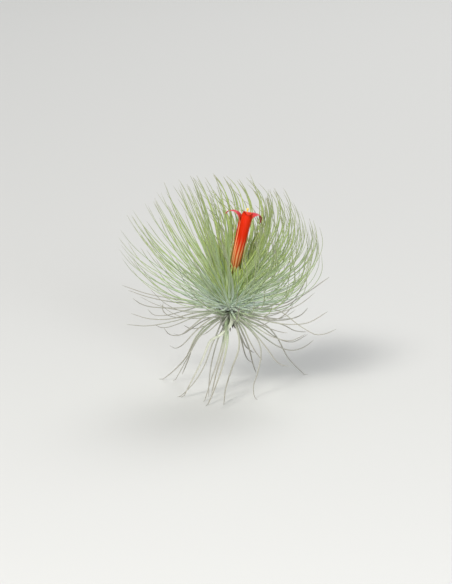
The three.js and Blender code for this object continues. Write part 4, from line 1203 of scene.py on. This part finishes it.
def dryScale(i):
    # a short torn sheath on the old stem
    sizes = scaleSizes
    height = mix(*sizes["levels"], (i + 0.5) / sizes["count"])
    outward = direction(i * leafSizes["goldenAngle"], 90)
    root = outward * float(np.interp(height, sizes["heights"], sizes["radii"])) + np.array([0, 0, height])
    length = mix(*sizes["lengths"], draw(i, 51))
    points = [root - outward * sizes["rootDepth"], root]
    for (least, more), down, salt in zip(sizes["out"], sizes["down"], (52, 53)):
        step = outward * (least + more * draw(i, salt)) + np.array([0, 0, -1.0]) * down
        points.append(points[-1] + step * length * 0.5)
    share = np.linspace(0, 1, sizes["points"])
    line = smoothLine(points, share)
    leastDry, moreDry = sizes["dry"]
    return {
        "line": line, "facing": carryFacing(line, np.array([0, 0, 1.0]) + outward), "along": share,
        "wrap": np.linspace(1, 0, sizes["points"]), "dry": leastDry + moreDry * draw(i, 54),
        "size": sizes["size"], "tint": draw(i, 55),
    }


def oldPiece():
    sizes = leafPieces
    share = np.linspace(0, 1, railSizes["points"])
    rails = []
    for leaf in leaves:
        if leaf["node"] == "old_leaves":
            rail = oldRail(leaf)
            rail["tint"] = draw(leaf["k"], 23)
            rail["size"] = sizeOf(leaf, sizes["oldSize"], 24)
            if leaf["k"] == oldLeafSizes["nearest"]:
                rail["size"] = mix(*sizes["nearestSize"], share)
                rail["pale"] = 1 - share ** 2
            rail["dry"] = dryAt(share, sizes["oldDryFade"], sizes["oldDryMost"])
            rails.append(rail)
    rails += [dryScale(i) for i in range(scaleSizes["count"])]
    stem, faces = turnedSolid(stemOutline, sizes["coreSides"])
    values = {"along": 0.1, "dry": 1.0, "tint": 0.2, "edge": 0.0, "upper": 0.0}
    meshes = [
        sweepLeaves("oldLeaves", rails, sizes["old"], dryFinish),
        meshFrom("stem", atCrown(stem), faces, dryFinish, values),
    ]
    addPiece("oldLeaves", meshes, "old_leaf", "old_leaves")


oldPiece()
greenPiece("outerLeaves", "outer_leaves", (-0.3, 12.3), "outer_leaf")
greenPiece("heartLeaves", "heart_leaves", (10.3, 21), "heart_leaf")
print("leaves made")


# Flower

petalLooks = {
    "steps": 72, "across": 20, "thickness": 0.62, "margin": 0.14, "tipThinning": 0.7, "overlap": 6,
    "fold": 0.16, "lipPower": 2.2, "lipWidth": 0.12,
    # ripples of the rolled tips: height, how close across and along, and what a petal's differ by
    "ripple": 0.16, "rippleAcross": 5, "rippleAlong": 46, "rippleShift": 2.1,
    "tube": (208, 38, 0), "deep": (180, 18, 0), "low": (200, 108, 46), "streak": (248, 188, 132),
    "tip": (196, 48, 68), "throat": (240, 112, 22), "foot": (188, 176, 88), "rim": (226, 128, 128),
    # shares of these tones
    "deepShare": 0.35, "lowShare": 0.85, "streakShare": 0.95, "marginShare": 0.85, "footShare": 0.75,
    "throatShare": 0.5, "tipShare": 0.9, "rimShare": 0.6,
    # where they end along the petal, and where they start across it and on the roll
    "lowEnd": (0.12, 0.54), "streakEnd": (0.22, 0.6), "marginEnd": (0.55, 0.85), "footEnd": (0.03, 0.16),
    "streakStart": (0.35, 0.9), "marginStart": (0.72, 0.95), "tipStart": (0.0, 0.35), "rosyStart": (0.0, 0.2),
    "rimStart": (0.5, 0.95),
    # how close veins and streaks lie, and how they waver
    "veins": 34, "veinNoise": 160, "streaks": 12, "streakNoise": 90, "waver": 5,
    "ridges": (0.3, 0.15), "roughness": 0.36, "veinRoughness": 0.12, "tipRoughness": 0.1, "ior": 1.3,
}
greenParts = {
    "sepal": {"span": (-0.3, 7.5), "standOff": 0.97, "halfAngle": 54, "besidePetal": 60},
    "bract": {"span": (-0.6, 5), "standOff": 1.9, "halfAngle": 80, "azimuths": (40, 220)},
    "steps": 26, "across": 18, "thickness": 0.5, "margin": 0.35, "tipThinning": 0.5, "tipNarrowing": 0.6,
    "pointWidth": 0.04, "flare": 0.25,
    "blade": [(0.0, (150, 164, 96)), (0.6, (160, 168, 88)), (1.0, (196, 124, 72))],
    "fibre": (110, 128, 60), "fibreShare": 0.25, "fibres": 40, "scales": (204, 208, 190), "scaleShare": 0.3,
    "scaleSize": 2400, "scaleSpan": (0.5, 0.7), "scaleRoughness": 0.15, "ridges": (0.3, 0.12),
    "roughness": 0.5,
}


def gridShares(looks):
    # shares of the length and places across, -1 to 1, of each point of a blade
    along, across = np.linspace(0, 1, looks["steps"]), np.linspace(-1, 1, looks["across"])
    return np.meshgrid(along, across, indexing="ij")


def tubeRadius(distance):
    low, high = flowerSizes["petals"]
    share = np.clip((distance - low) / (high - low), 0, 1)
    return mix(*flowerSizes["tube"], share ** flowerSizes["tubePower"])


def flowerPoints(distance, radius, azimuth):
    around = np.radians(azimuth)
    outward = np.stack([np.cos(around), np.sin(around), np.zeros_like(around)], axis=-1)
    outward = outward - (outward @ flowerLean)[..., None] * flowerLean
    outward /= np.linalg.norm(outward, axis=-1)[..., None]
    return flowerFoot + flowerLean * np.asarray(distance)[..., None] + outward * np.asarray(radius)[..., None]


def bladeMesh(name, middle, normal, thickness, material, values):
    # two skins at half the thickness to each side of a grid of points, closed round the edge
    steps, across = middle.shape[0], middle.shape[1]
    offset = normal * (thickness / 2)[..., None]
    points = np.concatenate([(middle + offset).reshape(-1, 3), (middle - offset).reshape(-1, 3)])
    index = np.arange(steps * across).reshape(steps, across)
    back = index + steps * across
    faces = []
    for i in range(steps - 1):
        for j in range(across - 1):
            faces.append((index[i, j], index[i, j + 1], index[i + 1, j + 1], index[i + 1, j]))
            faces.append((back[i, j], back[i + 1, j], back[i + 1, j + 1], back[i, j + 1]))
    rim = [*index[0, :-1], *index[:-1, -1], *index[-1, :0:-1], *index[:0:-1, 0]]
    for here, there in zip(rim, rim[1:] + rim[:1]):
        faces.append((there, here, here + steps * across, there + steps * across))
    twice = {label: np.tile(value.ravel(), 2) for label, value in values.items()}
    twice["inside"] = np.repeat([0.0, 1.0], steps * across)
    return meshFrom(name, atCrown(points), np.array(faces).tolist(), material, twice)


def petalGrid(petal, shift):
    # up the tube, and then outwards and down round the roll
    looks = petalLooks
    low, high = flowerSizes["petals"]
    tubeLength = high - low + petal["rise"]
    freeLength = petal["roll"] * math.radians(petal["turn"])
    along, across = gridShares(looks)
    reach = along * (tubeLength + freeLength)
    share = np.maximum(0, reach - tubeLength) / freeLength
    distance = low + np.minimum(reach, tubeLength)
    radius = tubeRadius(distance)
    angle = np.radians(petal["turn"]) * share
    wave = across * looks["rippleAcross"] + along * looks["rippleAlong"] + shift
    ripple = looks["ripple"] * share * np.sin(wave)
    out = radius + petal["roll"] * (1 - np.cos(angle)) + ripple * np.cos(angle)
    up = distance + petal["roll"] * np.sin(angle) - ripple * np.sin(angle)
    lip = np.sqrt(np.clip(1 - share ** looks["lipPower"], 0, 1))
    halfAngle = flowerSizes["halfAngle"] + looks["overlap"] * (1 - share)
    halfAngle = halfAngle * mix(1, petal["width"], np.sqrt(share)) * mix(looks["lipWidth"], 1, lip)
    sweep = petal["azimuth"] + across * halfAngle * (radius / out) ** share
    # one margin of each petal lies over its neighbour's
    fold = looks["fold"] * across * (1 - share)
    middle = flowerPoints(up, out + fold, sweep)
    outward = flowerPoints(up, out + fold + 1, sweep) - middle
    normal = outward * np.cos(angle)[..., None] - flowerLean * np.sin(angle)[..., None]
    normal /= np.linalg.norm(normal, axis=-1)[..., None]
    thickness = mix(looks["margin"], looks["thickness"], 1 - abs(across) ** 3)
    thickness *= mix(1, looks["tipThinning"], share)
    values = {"along": along, "edge": across, "free": share, "blush": share * petal["blush"]}
    return middle, normal, thickness, values


def petalFinish(name):
    material, net = newFinish(name)
    looks = petalLooks
    along, edge, free, inside = (net.attribute(label) for label in ("along", "edge", "free", "inside"))
    fibres = (edge * looks["veins"] + noise(net, looks["veinNoise"]) * looks["waver"]).sine()
    veins = (fibres * 0.5 + 0.5) ** 2
    colour = net.mixColour(veins * looks["deepShare"], linear(*looks["tube"]), linear(*looks["deep"]))
    lower = 1 - along.ease(*looks["lowEnd"])
    colour = net.lay(lower * looks["lowShare"], colour, looks["low"])
    stripe = (edge * looks["streaks"] + noise(net, looks["streakNoise"]) * looks["waver"]).sine()
    streaks = (1 - along.ease(*looks["streakEnd"])) * (stripe * 0.5 + 0.5).ease(*looks["streakStart"])
    margin = (edge * edge).ease(*looks["marginStart"]) * (1 - along.ease(*looks["marginEnd"]))
    pale = (streaks * looks["streakShare"] + margin * looks["marginShare"]).clip()
    colour = net.lay(pale, colour, looks["streak"])
    colour = net.lay((1 - along.ease(*looks["footEnd"])) * looks["footShare"], colour, looks["foot"])
    colour = net.lay(inside * (1 - free) * looks["throatShare"], colour, looks["throat"])
    blush = net.attribute("blush")
    colour = net.lay(blush.ease(*looks["tipStart"]) * looks["tipShare"], colour, looks["tip"])
    rosy = blush.ease(*looks["rosyStart"]) * (edge * edge).ease(*looks["rimStart"])
    colour = net.lay(rosy * looks["rimShare"], colour, looks["rim"])
    bump = ridges(net, *looks["ridges"], veins)
    rough = looks["roughness"] + veins * looks["veinRoughness"] + free * looks["tipRoughness"]
    closeFinish(net, {"Base Color": colour, "Roughness": rough, "Normal": bump, "IOR": looks["ior"]})
    return material


petalSkin = petalFinish("petal")
for number, (node, petal) in enumerate(petalSizes.items()):
    middle, normal, thickness, values = petalGrid(petal, number * petalLooks["rippleShift"])
    addPiece(node + "_bloom", [bladeMesh(node, middle, normal, thickness, petalSkin, values)], "petal", node)


def greenPartFinish(name):
    material, net = newFinish(name)
    looks = greenParts
    along, edge = net.attribute("along"), net.attribute("edge")
    colour = net.ramp(along, looks["blade"])
    fibres = (edge * looks["fibres"]).sine()
    colour = net.lay((fibres * 0.5 + 0.5) * looks["fibreShare"], colour, looks["fibre"])
    specks = noise(net, looks["scaleSize"]).ease(*looks["scaleSpan"])
    colour = net.lay(specks * looks["scaleShare"], colour, looks["scales"])
    bump = ridges(net, *looks["ridges"], fibres)
    rough = looks["roughness"] + specks * looks["scaleRoughness"]
    closeFinish(net, {"Base Color": colour, "Roughness": rough, "Normal": bump})
    return material


greenPartSkin = greenPartFinish("flower sheath")


def sheathGrid(sizes, azimuth):
    looks = greenParts
    along, across = gridShares(looks)
    distance = flowerSizes["petals"][0] + mix(*sizes["span"], along)
    pointed = np.sqrt(np.clip(1 - along ** 3, looks["pointWidth"] ** 2, 1))
    sweep = azimuth + across * sizes["halfAngle"] * pointed * mix(1, looks["tipNarrowing"], along)
    radius = tubeRadius(distance) + sizes["standOff"] + looks["flare"] * along ** 2
    middle = flowerPoints(distance, radius, sweep)
    normal = flowerPoints(distance, radius + 1, sweep) - middle
    thickness = looks["thickness"] * mix(looks["margin"], 1, 1 - abs(across) ** 3)
    thickness *= mix(1, looks["tipThinning"], along)
    return middle, normal, thickness, {"along": along, "edge": across}


def addSheaths(kind, azimuths):
    for i, azimuth in enumerate(azimuths):
        middle, normal, thickness, values = sheathGrid(greenParts[kind], azimuth)
        node = f"{kind}_{i + 1}"
        mesh = bladeMesh(node, middle, normal, thickness, greenPartSkin, values)
        addPiece(node + "_leaf", [mesh], "green_flower_parts", node)


addSheaths("sepal", [petal["azimuth"] + greenParts["sepal"]["besidePetal"] for petal in petalSizes.values()])
addSheaths("bract", greenParts["bract"]["azimuths"])


def roundRod(line, radii, sides):
    # a closed rod along a line, with its radius at each point
    facing = carryFacing(line, np.array([0.3, -0.9, 0.1]))
    tangents = np.gradient(line, axis=0)
    tangents /= np.linalg.norm(tangents, axis=1)[:, None]
    side = np.cross(tangents, facing)
    angles = np.linspace(0, 2 * math.pi, sides, endpoint=False)[:, None]
    outward = facing[:, None] * np.cos(angles) + side[:, None] * np.sin(angles)
    rings = line[:, None] + np.asarray(radii)[:, None, None] * outward
    points = np.concatenate([rings.reshape(-1, 3), line[:1], line[-1:]])
    last = (len(line) - 1) * sides
    faces = []
    for corner in range(sides):
        after = (corner + 1) % sides
        faces.append((last + sides, after, corner))
        faces.append((last + corner, last + after, last + sides + 1))
        for ring in range(0, last, sides):
            faces.append((ring + corner, ring + after, ring + sides + after, ring + sides + corner))
    return points, faces


def rodMesh(name, line, radii, pollen):
    points, faces = roundRod(line, radii, stamenLooks["sides"])
    return meshFrom(name, atCrown(points), faces, pollenSkin, {"pollen": pollen})


stamenLooks = {
    "count": 6, "turn": 15, "lift": 0.4, "sides": 12, "topRadius": 2.1,
    # the ring that joins the filaments: inner and outer radius, height and sides
    "ring": (1.4, 2.05), "ringHeight": 1.4, "ringSides": 48,
    # a filament, and its distance from the axis at two heights over the foot and at a share of its way
    "filament": 0.3, "filamentPoints": 24, "foot": (0.5, 1.72), "ovary": (8, 1.35), "middle": (0.6, 1.6),
    "anther": {
        "length": 2.7, "radius": 0.56, "points": 16, "below": 0.3, "ends": 0.01, "waves": 14, "wave": 0.12,
    },
    # where the filaments end, from the mouth, and what a draw adds
    "end": -1.7, "endScatter": 1.6,
    "pale": (255, 226, 50), "deep": (230, 176, 20), "filamentTone": (206, 196, 110), "filamentShare": 0.7,
    "grainSize": 5200.0, "grainSpan": (0.1, 0.6), "ridges": (0.6, 0.1),
    "roughness": 0.5, "pollenRoughness": 0.35,
}
pistilLooks = {
    "points": 20, "lift": 0.3, "ovary": 5.6,
    "ovaryRadii": ([0, 0.08, 0.36, 0.71, 0.96, 1], [0.6, 1.0, 1.12, 0.9, 0.42, 0.3]),
    # the style: where it starts over the foot and ends over the mouth, and its radii there
    "style": (4.6, 3.2), "styleRadii": (0.42, 0.36), "pollen": 0.35,
    # lobes of the stigma: [height over the mouth, distance from the axis], radii along them, and the turn
    "lobe": [(2.8, 0.1), (3.8, 0.42), (4.8, 0.6)], "lobeRadii": ([0, 0.5, 0.85, 1], [0.34, 0.46, 0.4, 0.15]),
    "lobes": 3, "turn": 45,
}


def pollenFinish(name):
    material, net = newFinish(name)
    looks = stamenLooks
    sockets = {"Vector": objectPlace(net), "Scale": looks["grainSize"]}
    grains = net.add("ShaderNodeTexVoronoi", {}, sockets, "Distance")
    pollen = net.attribute("pollen")
    spots = grains.ease(*looks["grainSpan"])
    colour = net.mixColour(spots, linear(*looks["deep"]), linear(*looks["pale"]))
    colour = net.lay((1 - pollen) * looks["filamentShare"], colour, looks["filamentTone"])
    bump = ridges(net, *looks["ridges"], grains * pollen)
    rough = looks["roughness"] + pollen * looks["pollenRoughness"]
    closeFinish(net, {"Base Color": colour, "Roughness": rough, "Normal": bump})
    return material


pollenSkin = pollenFinish("pollen")


def stamenRing(foot):
    looks = stamenLooks
    sides, (inner, outer), top = looks["ringSides"], looks["ring"], foot + looks["ringHeight"]
    angles = np.linspace(0, 360, sides, endpoint=False)
    corners = [(inner, foot), (outer, foot), (outer, top), (inner, top)]
    points = [flowerPoints(np.full(sides, up), np.full(sides, radius), angles) for radius, up in corners]
    faces = []
    for ring in range(4):
        low, high = ring * sides, (ring + 1) % 4 * sides
        for i in range(sides):
            j = (i + 1) % sides
            faces.append((low + i, low + j, high + j, high + i))
    return meshFrom("ring", atCrown(np.concatenate(points)), faces, pollenSkin, {"pollen": 0.0})


def addStamens():
    looks, anther = stamenLooks, stamenLooks["anther"]
    foot, mouth = flowerSizes["petals"][0] + looks["lift"], flowerSizes["mouth"]
    footRise, footRadius = looks["foot"]
    ovaryRise, ovaryRadius = looks["ovary"]
    middleShare, middleRadius = looks["middle"]
    meshes = [stamenRing(foot)]
    for i in range(looks["count"]):
        azimuth = 360 / looks["count"] * i + looks["turn"]
        end = mouth + looks["end"] + looks["endScatter"] * draw(i, 41)
        route = [
            (foot + footRise, footRadius), (foot + ovaryRise, ovaryRadius),
            (mix(foot, mouth, middleShare), middleRadius), (end, looks["topRadius"]),
        ]
        line = [flowerPoint(distance, radius, azimuth) for distance, radius in route]
        count = looks["filamentPoints"]
        line = smoothLine(line, np.linspace(0, 1, count))
        meshes.append(rodMesh("filament", line, np.full(count, looks["filament"]), 0.0))
        share = np.linspace(0, 1, anther["points"])
        low = end - anther["below"]
        line = np.array([flowerPoint(low + anther["length"] * s, looks["topRadius"], azimuth) for s in share])
        swell = anther["radius"] * np.sqrt(np.clip(1 - (2 * share - 1) ** 2, anther["ends"], 1))
        swell *= 1 - anther["wave"] * np.cos(share * anther["waves"])
        meshes.append(rodMesh("anther", line, swell, 1.0))
    addPiece("stamenRing", meshes, "pollen_yellow", "stamens")


def addPistil():
    looks = pistilLooks
    foot, mouth = flowerSizes["stalk"][1] + looks["lift"], flowerSizes["mouth"]
    share = np.linspace(0, 1, looks["points"])
    low, high = foot + looks["style"][0], mouth + looks["style"][1]
    ovary = np.array([flowerPoint(foot + looks["ovary"] * s) for s in share])
    style = np.array([flowerPoint(mix(low, high, s)) for s in share])
    parts = [(ovary, np.interp(share, *looks["ovaryRadii"])), (style, mix(*looks["styleRadii"], share))]
    for i in range(looks["lobes"]):
        azimuth = 360 / looks["lobes"] * i + looks["turn"]
        route = [flowerPoint(mouth + up, radius, azimuth) for up, radius in looks["lobe"]]
        parts.append((smoothLine(route, share), np.interp(share, *looks["lobeRadii"])))
    meshes = [rodMesh("pistil", line, radii, looks["pollen"]) for line, radii in parts]
    addPiece("pistilStem", meshes, "pollen_yellow", "pistil")


stalkLooks = {"points": 12, "radii": (2.0, 2.5), "sides": 24}


def addStalk():
    share = np.linspace(0, 1, stalkLooks["points"])
    line = np.array([flowerPoint(mix(*flowerSizes["stalk"], s)) for s in share])
    points, faces = roundRod(line, mix(*stalkLooks["radii"], share), stalkLooks["sides"])
    mesh = meshFrom("stalk", atCrown(points), faces, greenPartSkin, {"along": 0.2, "edge": 0.0})
    addPiece("flowerStalk", [mesh], "green_flower_parts", "flower_stalk")


addStamens()
addPistil()
addStalk()
print("flower made")


# Floor and light

studio = {
    "floorSize": 12, "floor": (204, 204, 202), "floorRoughness": 0.7,
    "world": (0.97, 0.985, 1.0), "worldStrength": 0.34,
    # places in metres from the crown
    "lamps": [
        {"name": "key", "place": (-1.5, -2.6, 2.6), "size": 1.0, "power": 140, "colour": (1.0, 0.98, 0.94)},
        {"name": "fill", "place": (0.9, -3.2, 0.9), "size": 1.4, "power": 76, "colour": (0.94, 0.97, 1.0)},
        {"name": "back", "place": (0.9, 2.6, 2.3), "size": 1.8, "power": 50, "colour": (1.0, 1.0, 1.0)},
    ],
}


def addFloor():
    half = studio["floorSize"] / 2
    level = cadBox[0].z
    corners = [(-half, -half, level), (half, -half, level), (half, half, level), (-half, half, level)]
    mesh = bpy.data.meshes.new("floor")
    mesh.from_pydata(corners, [], [(0, 1, 2, 3)])
    material, net = newFinish("floor")
    closeFinish(net, {"Base Color": (*linear(*studio["floor"]), 1), "Roughness": studio["floorRoughness"]})
    mesh.materials.append(material)
    floor = bpy.data.objects.new("floor", mesh)
    bpy.context.scene.collection.objects.link(floor)


def addLights():
    for lamp in studio["lamps"]:
        data = bpy.data.lights.new(lamp["name"], "AREA")
        data.shape = "DISK"
        data.size = lamp["size"]
        data.energy = lamp["power"]
        data.color = lamp["colour"]
        panel = bpy.data.objects.new(lamp["name"], data)
        place = Vector(crown) + Vector(lamp["place"])
        panel.location = place
        panel.rotation_mode = "QUATERNION"
        panel.rotation_quaternion = (Vector(crown) - place).to_track_quat("-Z", "Y")
        bpy.context.scene.collection.objects.link(panel)
    world = bpy.data.worlds.new("studio")
    world.use_nodes = True
    sky = world.node_tree.nodes["Background"]
    sky.inputs["Color"].default_value = (*studio["world"], 1)
    sky.inputs["Strength"].default_value = studio["worldStrength"]
    bpy.context.scene.world = world
    bpy.context.scene.view_settings.view_transform = "Standard"


addFloor()
addLights()
print("floor and lights placed")
